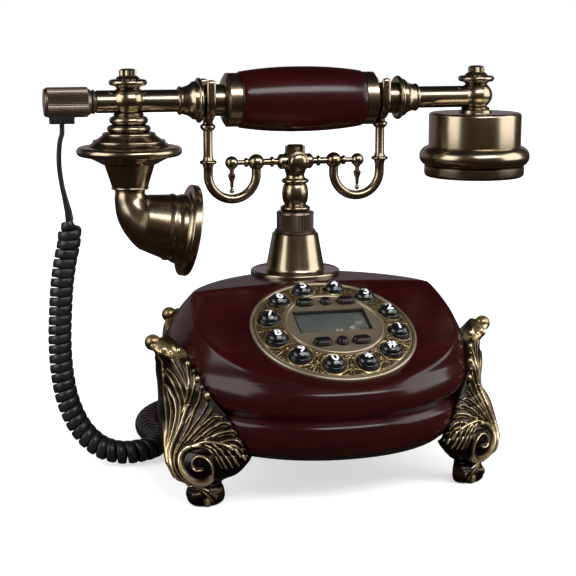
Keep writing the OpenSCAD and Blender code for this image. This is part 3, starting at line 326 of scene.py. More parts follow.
def cloud(m, scale, detail, roughness=0.5, stretch=None):
    """A fine noise in the object's own space."""
    place = add(m, "ShaderNodeTexCoord").outputs["Object"]
    if stretch:
        place = add(m, "ShaderNodeMapping", [("Vector", place)], [("Scale", stretch)]).outputs[0]
    values = [("Scale", scale), ("Detail", detail), ("Roughness", roughness)]
    return add(m, "ShaderNodeTexNoise", [("Vector", place)], values).outputs["Fac"]


def ramp(m, source, *colours):
    """Colours along a ramp, from (place, sRGB hex) pairs."""
    node = add(m, "ShaderNodeValToRGB", [("Fac", source)])
    elements = node.color_ramp.elements
    elements.remove(elements[-1])
    elements[0].position, elements[0].color = colours[0][0], srgb(colours[0][1])
    for place, code in colours[1:]:
        elements.new(place).color = srgb(code)
    return node.outputs["Color"]


def between(m, source, low, high):
    return add(m, "ShaderNodeMapRange", [("Value", source)], [("To Min", low), ("To Max", high)]).outputs[0]


def lacquered_wood():
    """Dark cherry under thick polyurethane lacquer: deep wine red, faint grain, a wet-looking clear coat."""
    m = new_material("lacquered_cherry")
    grain = cloud(m, 1.0, 5.0, 0.6, (18, 160, 160))
    tint = ramp(m, grain, (0.3, "#230306"), (0.55, "#2b0407"), (0.75, "#350609"))
    ripple = cloud(m, 45.0, 2.0)
    bump = add(m, "ShaderNodeBump", [("Height", ripple)], [("Strength", 0.03), ("Distance", 0.001)])
    return surface(m, [("Base Color", tint), ("Coat Normal", bump.outputs[0])],
                   [("Roughness", 0.5), ("Specular IOR Level", 0.05), ("Coat Weight", 0.72),
                    ("Coat Roughness", 0.185), ("Coat IOR", 1.46)])


def turned_brass(name, smoothest, roughest, metal=1.0, rubbed="#ab9d84"):
    """Antiqued brass, turned, rubbed and lacquered: grey-brown satin metal, darkened by ambient occlusion,
    which gives tarnish in recesses and painted shade between parts.
    """
    m = new_material(name)
    mist = cloud(m, 70.0, 6.0, 0.62)
    # painted shade: the ambient occlusion darkens the metal wherever parts crowd together, besides the tarnish
    # in real recesses
    hollow = add(m, "ShaderNodeAmbientOcclusion", [], [("Distance", 0.005)], samples=12)
    tint = ramp(m, hollow.outputs["AO"], (0.15, "#1c140d"), (0.4, "#6a5c48"), (0.75, rubbed))
    speck = ramp(m, mist, (0.35, "#cfc4b6"), (0.65, "#ffffff"))
    mottle = add(m, "ShaderNodeMix", [(6, tint), (7, speck)], [(0, 0.35)],
                 data_type="RGBA", blend_type="MULTIPLY")
    return surface(m, [("Base Color", mottle.outputs[2]), ("Roughness", between(m, mist, smoothest, roughest))],
                   [("Metallic", metal), ("Coat Weight", 0.6), ("Coat Roughness", 0.15)])


def cast_brass():
    """Antiqued cast brass: black-brown patina in the recesses, bright rubbed metal on the ridges and a painted
    highlight on the tops of the buds and knobs.
    """
    m = new_material("antique_brass_cast")
    wear_and_highlight = add(m, "ShaderNodeAttribute", attribute_name="wear_and_highlight").outputs["Fac"]
    shift = add(m, "ShaderNodeMath", [(0, cloud(m, 220.0, 5.0, 0.6))], [(1, 0.3), (2, -0.1)],
                operation="MULTIPLY_ADD")
    worn_and_lit = add(m, "ShaderNodeMath", [(0, wear_and_highlight), (1, shift.outputs[0])], operation="ADD").outputs[0]
    tint = ramp(m, worn_and_lit, (0.08, "#19120c"), (0.38, "#54422a"), (0.65, "#b59a68"), (0.95, "#f4e4bd"))
    return surface(m, [("Base Color", tint), ("Roughness", between(m, worn_and_lit, 0.4, 0.22))],
                   [("Metallic", 0.85), ("Coat Weight", 0.5), ("Coat Roughness", 0.22)])


def plain(name, low, high, roughness, scale=200.0, detail=4.0, metallic=0.0, bump=0.0, coat=0.0):
    """A moulded, printed or pressed finish: two close tones in a fine cloud, with a little surface texture."""
    m = new_material(name)
    mist = cloud(m, scale, detail)
    links = [("Base Color", ramp(m, mist, (0.3, low), (0.7, high)))]
    if bump:
        rise = add(m, "ShaderNodeBump", [("Height", mist)], [("Strength", bump), ("Distance", 0.0004)])
        links.append(("Normal", rise.outputs[0]))
    values = [("Roughness", roughness), ("Metallic", metallic)] + ([] if metallic else [("IOR", 1.5)])
    return surface(m, links, values + ([("Coat Weight", coat), ("Coat Roughness", 0.1)] if coat else []))


def clear_acrylic():
    """Thin clear acrylic over the display."""
    return surface(new_material("clear_acrylic"), [], [
        ("Base Color", srgb("#f4f7f6")), ("Roughness", 0.03), ("IOR", 1.49), ("Transmission Weight", 1.0)])


MAKERS = {
    "wood": lacquered_wood,
    "brass": lambda: turned_brass("antique_brass_turned", 0.19, 0.29),
    "knurled": lambda: turned_brass("antique_brass_knurled", 0.32, 0.42, 0.9, "#75685c"),
    "dial_brass": lambda: turned_brass("antique_brass_satin", 0.34, 0.44, 0.78),
    "cast": cast_brass,
    "keys": lambda: plain("polished_black_abs", "#08090c", "#101218", 0.24, 300.0, 3.0, coat=0.3),
    "acrylic": clear_acrylic,
    "display": lambda: plain("display_film", "#545956", "#5c615d", 0.35, 60.0),
    "figures": lambda: plain("pad_printed_white", "#e9eaec", "#f4f5f6", 0.45),
    "black_plastic": lambda: plain("moulded_black_abs", "#101114", "#191a1e", 0.42, bump=0.1),
    "board": lambda: plain("green_board", "#0f3a1e", "#155028", 0.5),
    "mat": lambda: plain("keypad_rubber", "#1b1c1e", "#242528", 0.7, bump=0.2),
    "steel": lambda: plain("bright_steel", "#b5b5b3", "#c6c6c4", 0.28, metallic=1.0),
    "capsule": lambda: plain("pressed_aluminium", "#8e8e8c", "#a0a09e", 0.4, metallic=1.0),
    "cord": lambda: plain("black_cord_pvc", "#17171a", "#202024", 0.36, 120.0, bump=0.05),
}


@cache
def material(name):
    return MAKERS[name]()


# ---------------------------------------------------------------- sizes a user would change
class PhoneStudio(bpy.types.PropertyGroup):
    lens: FloatProperty(name="Lens", description="Camera lens", default=88.4, min=20, max=300, unit="CAMERA")
    camera: FloatVectorProperty(name="Camera", description="Place of the camera", unit="LENGTH",
                                default=(-0.1914, -0.6641, 0.2231), subtype="TRANSLATION")
    turn: FloatProperty(name="Turn", description="How far the camera looks to the right of straight ahead",
                        default=math.radians(15.0), subtype="ANGLE")
    tilt: FloatProperty(name="Tilt", description="How far the camera looks down", default=math.radians(10.8),
                        subtype="ANGLE")
    key_light: FloatProperty(name="Soft boxes", description="Power of the soft boxes for each square metre",
                             default=10.5, min=0, subtype="POWER")
    fill: FloatProperty(name="Fill", description="Brightness of the light from all round", default=0.5, min=0,
                        max=2)


class PhoneCord(bpy.types.PropertyGroup):
    width: FloatProperty(name="Wire width", description="Width of the flat wire", default=0.0045, min=0.002,
                         max=0.0047, unit="LENGTH")
    thickness: FloatProperty(name="Wire thickness", description="Thickness of the wire", default=0.0023,
                             min=0.0015, max=0.003, unit="LENGTH")
    sides: IntProperty(name="Sides", description="Points round the wire", default=10, min=6, max=16)


class PhoneDetail(bpy.types.PropertyGroup):
    leg_columns: IntProperty(name="Leg columns", description="Points across a leg's face", default=168, min=40,
                             max=200)
    leg_rows: IntProperty(name="Leg rows", description="Points up a leg", default=300, min=60, max=330)
    rim_round: FloatProperty(name="Rim rounding", description="Rounding of the wooden body's upper edge",
                             default=0.0016, min=0.0005, max=0.003, unit="LENGTH")


# ---------------------------------------------------------------- cord
PLUG_X, PLUG_BOTTOM, JACK_X, JACK_Z = -118.4, 172.3, 9.0, 34.0
COIL_PITCH, PER_CURL = 4.8, 20
CURL_R, CURL_EASE = 4.75, 6.0  # a curl's radius to the middle of the wire, and the run in which the curls open
LEAD_END, COIL_END, SPAN_STEPS = 7, 28, 6  # the spans at which the curls start and end, and steps in a span
SLIM, SLIM_FROM, SLIM_TO = 0.55, 30, 55  # the plain lead is narrower than the coiled wire
BASE_PLUG_Y = float(wall_r(180.0, JACK_Z)) + 6
ROUTE = [
    (PLUG_X, STEM_Y, PLUG_BOTTOM), (PLUG_X, STEM_Y, PLUG_BOTTOM - 2.5), (PLUG_X - 0.1, STEM_Y, PLUG_BOTTOM - 5),
    (-119.8, 36, 163), (-120.4, 36, 153), (-119.4, 36, 143), (-117.6, 36, 134), (-116, 36, 125),
    (-116.6, 36, 114), (-118.6, 36, 105), (-120.6, 36, 93), (-121.8, 36, 79), (-122.6, 35.4, 63),
    (-122, 34, 47), (-119.4, 31.5, 32), (-113.6, 28.5, 19), (-105, 25.4, 10.4), (-95, 23, 7.1), (-85, 24, 6.8),
    (-76.6, 29.6, 6.8), (-73, 39.4, 6.8), (-73.6, 51, 6.8), (-75, 64, 6.8), (-72.6, 78, 6.8), (-66, 91, 6.8),
    (-55.6, 100.6, 6.8), (-42, 106.6, 6.8), (-28, 108, 7.6), (-17, 106, 12), (-11, 101, 20), (-JACK_X, 95, 29),
    (-JACK_X, BASE_PLUG_Y + 7.5, JACK_Z), (-JACK_X, BASE_PLUG_Y + 5, JACK_Z)]


def cord_line():
    """Middle line of the wire and, at each point, the direction out of the coil."""
    line = spline(ROUTE, lambda length: SPAN_STEPS)
    run = run_along(line)
    total, start, stop = run[-1], run[LEAD_END * SPAN_STEPS], run[COIL_END * SPAN_STEPS]

    def place(s):
        return np.array([np.interp(s, run, line[:, k]) for k in range(3)])

    stations = np.concatenate([
        [0.0, 2.5], np.arange(5, start - 1, 3.0), np.arange(start, stop, COIL_PITCH / PER_CURL),
        np.arange(stop + 2, total - 4, 3.0), [total - 2.8, total]])
    u = np.array([0.0, 1.0, 0.0])
    centres, outs = [], []
    for s in stations:
        t = unit(place(min(total, s + 1.5)) - place(max(0, s - 1.5)))
        if s > 0:
            u = unit(u - (u @ t) * t)
        a = 2 * math.pi * (min(max(s, start), stop) - start) / COIL_PITCH
        outs.append(math.cos(a) * u + math.sin(a) * np.cross(t, u))
        radius = CURL_R * fade(s - start, 0, CURL_EASE) * fade(stop - s, 0, CURL_EASE)
        centres.append(place(s) + radius * outs[-1])
    return np.array(centres), np.array(outs)


class PHONE_OT_cord(bpy.types.Operator):
    """Curly handset cord on its resting route, with its two plugs"""

    bl_idname = "phone.cord"
    bl_label = "Curly cord"

    def execute(self, context):
        size = context.scene.phone_cord
        centres, outs = cord_line()
        along = unit(np.gradient(centres, axis=0))
        wide = unit(np.cross(along, outs))
        out = np.cross(wide, along)
        run = run_along(centres)
        # a rounded flat section, so that neighbouring curls nearly close up
        thick, flat = [share[None, :, None] / MM / 2 for share in section(size.sides, 0.6)]
        slim = SLIM + (1 - SLIM) * fade(run, SLIM_FROM, SLIM_TO)[:, None, None]
        rings = (centres[:, None] + thick * out[:, None] * size.thickness
                 + flat * wide[:, None] * slim * size.width)
        low, high = [np.array(corner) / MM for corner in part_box("handset_cord")]
        bm = bmesh.new()
        grid_piece(bm, np.clip(rings, low, high))
        close(bm)
        mesh = to_mesh(bm, "curly_cord", sharp=60)
        cord = new_piece("curly_cord", mesh, material("cord"), replaces=("handset_cord",))
        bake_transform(cord)
        for node in ("cord_plug_top", "cord_plug_base"):
            NODES[node].data.materials.clear()
            NODES[node].data.materials.append(material("black_plastic"))
        return {"FINISHED"}


# ---------------------------------------------------------------- wooden body
RECESS_R = DIAL_R - 3.2  # the hole under the dial plate
LEDGE_Z = 56.1  # above it the wall's rows close up evenly towards the rim
CREASE_NEAR, CREASE_DIP = 0.7, 0.14  # softens the crease: how far it reaches, and how far its line is let down


def rim_point(a):
    """Where the wall at angle a meets the top."""
    def above(z):
        r = float(wall_r(a, z))
        return z >= min(top_height(r * math.sin(math.radians(a)), -r * math.cos(math.radians(a))))

    z = halved(50.0, 93.4, above)
    return towards(a, wall_r(a, z), z)


def past_crease(a):
    crown, slope = top_height(*rim_point(a)[:2])
    return crown <= slope


class PHONE_OT_body(bpy.types.Operator):
    """Lacquered wooden body with its plinth, groove, crowned top and dial slope"""

    bl_idname = "phone.body"
    bl_label = "Wooden body"

    def execute(self, context):
        rim = context.scene.phone_detail.rim_round / MM
        corner = halved(60.0, 120.0, past_crease)
        front = np.linspace(-corner, corner, 97)
        # each column at the back stands behind one at the front
        back = [halved(corner, 360 - corner, lambda a: rim_point(a)[0] <= x) for x in
                [rim_point(a)[0] for a in front[-2:0:-1]]]
        angles = np.array(list(front) + back)
        rims = np.array([rim_point(a) for a in angles])
        levels = np.concatenate([
            [BASE_Z], np.arange(BASE_Z + 0.5, BASE_Z + 5, 0.75), np.arange(BASE_Z + 5, GROOVE_Z - 4, 1.4),
            np.arange(GROOVE_Z - 4, GROOVE_Z + 4.1, 0.5), np.arange(GROOVE_Z + 5, LEDGE_Z, 1.4)])
        rows = [towards(angles, wall_r(angles, z), z) for z in levels]
        under = rims[:, 2] - rim
        for t in np.linspace(0, 1, 16)[1:]:
            z = levels[-1] + (under - levels[-1]) * t
            rows.append(towards(angles, wall_r(angles, z), z))
        # the rounded rim
        inward = rims.copy()
        inward[:, :2] *= (1 - 1.5 * rim / np.linalg.norm(rims[:, :2], axis=1))[:, None]
        inward[:, 2] = np.minimum(*top_height(inward[:, 0], inward[:, 1]))
        foot = rows[-1]
        for t in np.linspace(0, 1, 7)[1:]:
            rows.append(foot * (1 - t) ** 2 + rims * 2 * t * (1 - t) + inward * t * t)
        wall = np.array(rows)
        bm = bmesh.new()
        grid_piece(bm, np.concatenate([wall, wall[:, :1]], axis=1))
        # top patches: columns from the crease to the front rim, and from the crease to the back rim
        n = len(front)
        front_edge = inward[:n]
        back_edge = np.concatenate([inward[n - 1 : n], inward[n:], inward[:1]])[::-1]
        x = (front_edge[:, 0] + back_edge[:, 0]) / 2
        crown = top_height(x, 0)[0]
        crease = np.stack([x, CREASE_Y + (crown - TOP_Z) / math.tan(math.radians(DIAL_TILT)), crown], axis=1)
        crease[0], crease[-1] = front_edge[0], front_edge[-1]
        for edge in (front_edge, back_edge):
            near = np.minimum(0.45, CREASE_NEAR / np.maximum(np.linalg.norm(edge - crease, axis=1), 0.1))
            patch = []
            for share in [0 * near] + [near + (1 - near) * t for t in np.linspace(0, 1, 12)]:
                at = crease + (edge - crease) * share[:, None]
                at[1:-1, 2] = np.minimum(*top_height(at[:, 0], at[:, 1]))[1:-1]
                patch.append(at)
            patch[0][1:-1, 2] -= CREASE_DIP
            patch[-1] = edge
            grid_piece(bm, np.array(patch))
        close(bm, 30 * WELD)
        mesh = to_mesh(bm, "wooden_body", sharp=50)
        body = new_piece("wooden_body", mesh, material("wood"), "base", ("body_shell",))
        recess = bmesh.new()
        bmesh.ops.create_cone(recess, cap_ends=True, segments=96, radius1=RECESS_R * MM, radius2=RECESS_R * MM,
                              depth=0.03)
        bmesh.ops.transform(recess, matrix=DIAL_PLACE, verts=recess.verts)
        cutter = bpy.data.objects.new("dial_recess", to_mesh(recess, "dial_recess"))
        bpy.context.scene.collection.objects.link(cutter)
        cut(body, cutter)
        return {"FINISHED"}


# ---------------------------------------------------------------- legs
# outline of a leg, in millimetres and degrees: height, inner edge's angle and stand-off, outer edge's angle and
# stand-off, swell of the face, angle where the side returns to the wood, stand-off of the back
LEG_TABLE = [
    (0, 52, 1, 61.5, 1, 6.5, 62, 7), (2, 50.5, 2, 63, 2, 7.5, 63.5, 5.5), (5, 50, 2, 63.5, 3, 7.5, 64, 5),
    (8.5, 50.5, 1, 62.5, 3, 6.5, 63, 5), (10.5, 51.5, -1, 61, 5, 6, 62, 5), (13, 49, -2, 61, 11, 4.5, 64, 6),
    (16, 44.5, -2.5, 62, 15, 2.5, 68, 6), (20, 41.5, -3, 63.7, 15.7, 2.5, 72, 4.5),
    (24.8, 39.5, -3.2, 66.2, 14.5, 3, 76, 2.5), (30, 40.3, -1.4, 70, 12.6, 3.5, 80, 0),
    (36, 42.6, 0.1, 74.5, 9.8, 3.8, 84, 0), (42, 45.5, 0.5, 79, 6.2, 3.4, 86.5, 0),
    (46, 48.7, 0.8, 81, 4.9, 2.8, 87.5, 0), (50, 51.9, 1.2, 81.5, 4.7, 2.6, 88, 0),
    (57, 57.4, 2, 81.5, 6, 2.3, 88, 0), (64, 63.2, 2, 81, 8, 1.9, 88, 0), (69, 68, 2.4, 80, 10.5, 2, 87, 0),
    (73, 70.5, 2.4, 79.5, 11, 1.4, 86, 0), (76.2, 72, 2, 78.5, 9, 1, 84, 0)]
LEG = [curve_table([(row[0], row[k]) for row in LEG_TABLE]) for k in range(1, 8)]
LEG_LOW, LEG_HIGH = BASE_Z + 10, GROOVE_Z + 10
ROLL_Z, ROLL_H = 71.5, 4.9  # where the rolled top starts to round off, and how high it then rises
# the roll's swell: at its inner edge, how much more at its outer one, its height and its width
SWELL_IN, SWELL_MORE, SWELL_Z, SWELL_WIDE = 1.6, 2.2, 71, 3.3
SIDE_RUB, BACK_RUB, ROLL_RUB = 0.3, 0.1, 0.75  # how far the side, the back and the roll are rubbed bright
FOOT_Z = 10  # the rows are closer below it
# how far the top's back corner hangs lower, the inner edge's share of that, and between which heights
HANG, HANG_IN, HANG_ZS = 8, 0.65, (60, 76.2)
REAR_LEAN, REAR_LEAN_ZS = 0.55, (44, 60)  # a rear leg's face stands closer to the wood towards its top
SCROLL_RISE, SCROLL_SPREAD = 1.4, 95  # the mound under the scroll, and its radius squared
RIB_RISE, RIBS = 0.35, 2.5  # on the side that returns to the wood
# the carving is laid on the leg through a flat pattern, seen from one place, with its zero at the scroll's eye
PATTERN_EYE = np.array([-191.4, -662.6, 223.1])
PATTERN_TURN, PATTERN_TILT = math.radians(15), math.radians(10.8)
PATTERN_FAR, PATTERN_ZERO = 646.0, (39.97, 81.7)
# raised lines of the carving, in millimetres: height, half width, how far rubbed bright, points across and up
LEG_LINES = [
    (1.3, 1.5, 0.12, (-19.7, 49.7), (-20.2, 43.8), (-20.1, 38.1), (-19.5, 32.5), (-18.6, 27), (-17.6, 22),
     (-16.8, 17.4), (-15.8, 11.6), (-15.1, 6.6), (-14.5, 1.7)),
    (0.7, 0.36, 0.75, (-18.8, 55.9), (-19.2, 53.2), (-18.4, 50.4), (-17.1, 47.6), (-16.8, 43.8), (-16.3, 38.8),
     (-16.2, 33.6), (-15.7, 29), (-15.1, 23.5), (-15.1, 17.4), (-15.3, 11.6), (-14.9, 5.8), (-13.8, 0),
     (-12.2, -4.1)),
    (1.2, 0.75, 0.5, (-16, 43.2), (-13.6, 40.9), (-11.6, 37.4), (-9.9, 33.2), (-8.7, 30.1), (-8.4, 26.4),
     (-8.8, 22), (-9.8, 17.4), (-11.5, 12.9), (-13.3, 8.3), (-14.1, 4.6), (-13.7, 0.4), (-12.2, -3.3),
     (-10.2, -5.8)),
    (0.8, 0.42, 0.8, (-15.7, 37.4), (-14.1, 35.3), (-12.7, 32.5), (-11.4, 30.1), (-10.7, 26.6), (-10.8, 22.6),
     (-11.9, 17.4), (-13.3, 12.4), (-14.4, 8.3), (-14.6, 4.6)),
    (0.6, 0.34, 0.55, (-15.2, 35.3), (-14.5, 31.8), (-13.5, 28.3), (-13, 24.8), (-13.4, 19.9), (-14, 14.9),
     (-14.5, 10.4)),
    (0.8, 0.36, 0.7, (-14.6, 44.5), (-12.2, 42.3), (-10.1, 39.5), (-8.5, 35.7), (-7.1, 31.8), (-6.5, 28.3),
     (-6.9, 24.8)),
    (0.8, 0.36, 0.6, (-12.9, 49), (-10.4, 45.2), (-8.1, 40.9), (-6.5, 37.1), (-5.5, 33.2), (-5.6, 30.4)),
    (0.7, 0.34, 0.5, (-10.1, 49.4), (-8.3, 45.2), (-6.9, 40.9), (-6, 37.4), (-5.4, 33.6)),
    (0.9, 0.38, 0.85, (-6.5, 48.7), (-5.7, 44.5), (-5, 39.5), (-5.1, 35.3), (-5.8, 31.8), (-6.5, 28),
     (-7.6, 24.5)),
    (0.9, 0.38, 0.8, (-3, 43.8), (-2.4, 40.6), (-2.5, 36.7), (-3.5, 32.5), (-4.9, 28.3), (-6.5, 24.1),
     (-8, 19.9)),
    (0.9, 0.38, 0.85, (0.5, 38.8), (0.5, 34.6), (-0.2, 30.4), (-1.9, 26.6), (-4.3, 23), (-6.2, 19.5)),
    (0.8, 0.36, 0.7, (3.5, 35.3), (3.6, 30.1), (2.2, 25.5), (0.1, 22), (-2.7, 18.3), (-5.6, 13.7)),
    (1.5, 0.62, 1, (-5.1, 27.8), (-6.8, 22.8), (-8.5, 17.8), (-10.7, 12.9), (-12.5, 8.3), (-13.2, 3.3),
     (-12.3, -0.8), (-10.6, -4.4), (-7.6, -6.7), (-3.5, -8.5), (0.2, -10), (3.9, -11.7)),
    (1.1, 0.42, 0.75, (-1.5, 27.8), (-4.1, 20.3), (-7.6, 12.9), (-10.4, 7.9), (-11.3, 3.3), (-10.9, -0.6),
     (-8.7, -4.4), (-4.8, -7.1), (-1.5, -8.9)),
    (0.9, 0.36, 0.65, (3.5, 28.2), (1.5, 24.1), (-2.3, 18.9), (-6.3, 13.1), (-9.1, 8.9), (-10.5, 5.8)),
    (0.8, 0.36, 0.6, (5.6, 25.7), (2.7, 21.6), (-0.6, 17.8), (-4.6, 13.1), (-7.1, 10)),
    (2.1, 1.25, 0.95, (0.2, 9.8), (-3.5, 9), (-6.6, 7.3), (-8.5, 4.1), (-8.5, 0.6), (-7.2, -2.6), (-4.6, -5.2),
     (-1, -6.7), (2.7, -6.6), (5.5, -5)),
    (1.5, 0.62, 0.8, (5.5, -5), (6.1, -2.1), (5.7, 0.8), (3.9, 3.1), (1.5, 4.2), (-1, 4), (-2.6, 2.3),
     (-2.6, -0.2), (-1, -1.6), (1.2, -1.3)),
    (1.9, 0.7, 1, (-3.5, 9), (-0.6, 10.1), (2.7, 11.1), (6.8, 10.8), (11, 10.1), (14.3, 8.7), (17.6, 6.2),
     (20.6, 3.3)),
    (1.1, 0.42, 0.8, (-5.2, 11.6), (-1.5, 15.8), (1.9, 19), (5.2, 21.6), (8.1, 22.8), (10.4, 22.5)),
    (0.7, 0.34, 0.5, (-3.5, 11.6), (0.2, 15.3), (3.9, 18.6), (6.9, 21), (9.3, 21.6)),
    (1.2, 0.45, 0.9, (-2.3, 11.2), (1.9, 14.5), (6, 17.4), (9.3, 19.3), (12.2, 19.9), (14.1, 18.8)),
    (0.7, 0.34, 0.5, (1.9, 12.9), (6, 15.8), (9.8, 17.8), (12.7, 18.3)),
    (1.3, 0.5, 1, (2.7, 12), (6, 13.7), (9.3, 15), (12.7, 15.8), (15.6, 15.9), (17.3, 13.9)),
    (0.7, 0.34, 0.5, (6, 12.4), (10.2, 13.8), (14.3, 14.4), (16.6, 12.8)),
    (1.1, 0.42, 0.85, (9.8, 11), (12.2, 11.6), (15.1, 11.8), (17.8, 11.2), (19.7, 9.3)),
    (0.9, 0.38, 0.7, (13.9, 9.8), (16.8, 9), (18.9, 7.4), (20.2, 5)),
    (0.9, 0.4, 0.6, (0.2, 8.7), (3.5, 8), (6.6, 5.2), (8.8, 1.7), (10.1, -0.8)),
    (1, 0.42, 0.85, (2.7, 9.8), (6, 8), (8.6, 5), (10.7, 1.7), (12.2, -0.9)),
    (1.1, 0.46, 0.9, (6.4, 10), (9.5, 7.5), (11.9, 4.1), (13.7, 1.7), (14.9, -0.4)),
    (0.8, 0.38, 0.6, (10.2, 9.5), (13, 6.6), (15.1, 3.7), (16.3, 1.2)),
    (1.1, 0.46, 0.9, (13.5, 6.6), (15.6, 3.5), (17.8, 0.5)),
    (0.7, 0.5, 0.45, (-3.5, -9.1), (0.2, -11.2), (3.5, -13.7), (6, -16.6)),
    (0.6, 0.45, 0.4, (0.2, -9.3), (3.9, -11.8), (7.3, -14.5))]
# raised beads: height, radius, how far rubbed bright, place across and up
LEG_BEADS = [
    (1.6, 3, 1, -21.8, 55.9), (1.8, 2.1, 1, -16, 53.2), (1.1, 1.4, 0.9, -13.4, 52.3),
    (1.5, 1.9, 0.35, -10.8, 53.9), (1.4, 3, 0.25, -2.3, -13.5), (1.5, 2.6, 0.8, 3.5, -16.8),
    (1.2, 2.3, 0.5, 7.9, -14.3), (0.8, 2.2, 0.15, 9.8, -10.4)]
# round buds along the leg's inner edge: height, radius, how far rubbed bright at the top, where a painted
# highlight peaks
LEG_BUDS = [
    (69.2, 1.3, 0.9), (66.6, 1.15, 0.35), (64.2, 1.3, 0.85), (61.6, 1.15, 0.4), (58.8, 1.3, 0.85),
    (55.6, 1.2, 0.45), (52.2, 1.5, 0.8)]
BUD_COLUMN, BUD_LONG = 3, 1.5
KNOB_Z, KNOB_R, KNOB_IN, KNOB_UP, KNOB_RUB = 70.5, 3.9, 2.0, 1.4, 0.65  # the round knob that ends the roll
LEG_NOTCHES = (43.3, 39.2, 34.8, 29.8, 26.4)  # heights, along the inner edge
NOTCH_DEEP, NOTCH_WIDE = 0.85, 0.8  # degrees and millimetres
LINE_STEP, REACH = 0.2, 1.6  # points along a carved line, and how far its bump reaches in half widths


def carving(u, v, lines, beads=()):
    """Height of raised lines and beads at the places (u, v), and how far they are rubbed bright."""
    place = np.stack([u, v], axis=-1).reshape(-1, 2)
    height, wear_and_highlight = np.zeros(len(place)), np.zeros(len(place))
    shapes = [(rise, REACH * wide, shine, spline(points, lambda length: max(2, int(length / LINE_STEP))))
              for rise, wide, shine, *points in lines]
    shapes += [(rise, radius, shine, np.array([[x, y]])) for rise, radius, shine, x, y in beads]
    for rise, reach, shine, line in shapes:
        near = np.flatnonzero(np.all((place > line.min(0) - reach) & (place < line.max(0) + reach), axis=1))
        for part in np.array_split(near, max(1, len(near) // 4000)):
            gap = np.sqrt(((place[part, None, :] - line[None]) ** 2).sum(2).min(1))
            bump = np.clip(1 - (gap / reach) ** 2, 0, 1) ** 2
            height[part] = np.maximum(height[part], rise * bump)
            wear_and_highlight[part] = np.maximum(wear_and_highlight[part], shine * bump**1.5)
    return height.reshape(u.shape), wear_and_highlight.reshape(u.shape)


def on_pattern(points):
    """Where points of the right leg lie on the carving's flat pattern, across and up."""
    seen = points * np.array([-1, 1, 1]) - PATTERN_EYE
    st, ct, si, ci = (f(a) for a in (PATTERN_TURN, PATTERN_TILT) for f in (math.sin, math.cos))
    far = seen @ np.array([st * ci, ct * ci, -si])
    across, up = seen @ np.array([ct, -st, 0]), seen @ np.array([st * si, ct * si, ci])
    return PATTERN_FAR * across / far + PATTERN_ZERO[0], PATTERN_FAR * up / far + PATTERN_ZERO[1]


def smooth_wall(b, z):
    """The wall that the back of a leg follows: it bridges the body's groove."""
    k = (z - LEG_LOW) / (LEG_HIGH - LEG_LOW)
    bridge = (1 - k) * wall_r(b, LEG_LOW) + k * wall_r(b, LEG_HIGH)
    return np.where((z <= LEG_LOW) | (z >= LEG_HIGH), wall_r(b, np.maximum(z, BASE_Z)), bridge)


def face_wall(b, z):
    return wall_r(b, np.maximum(z, LEG_HIGH))


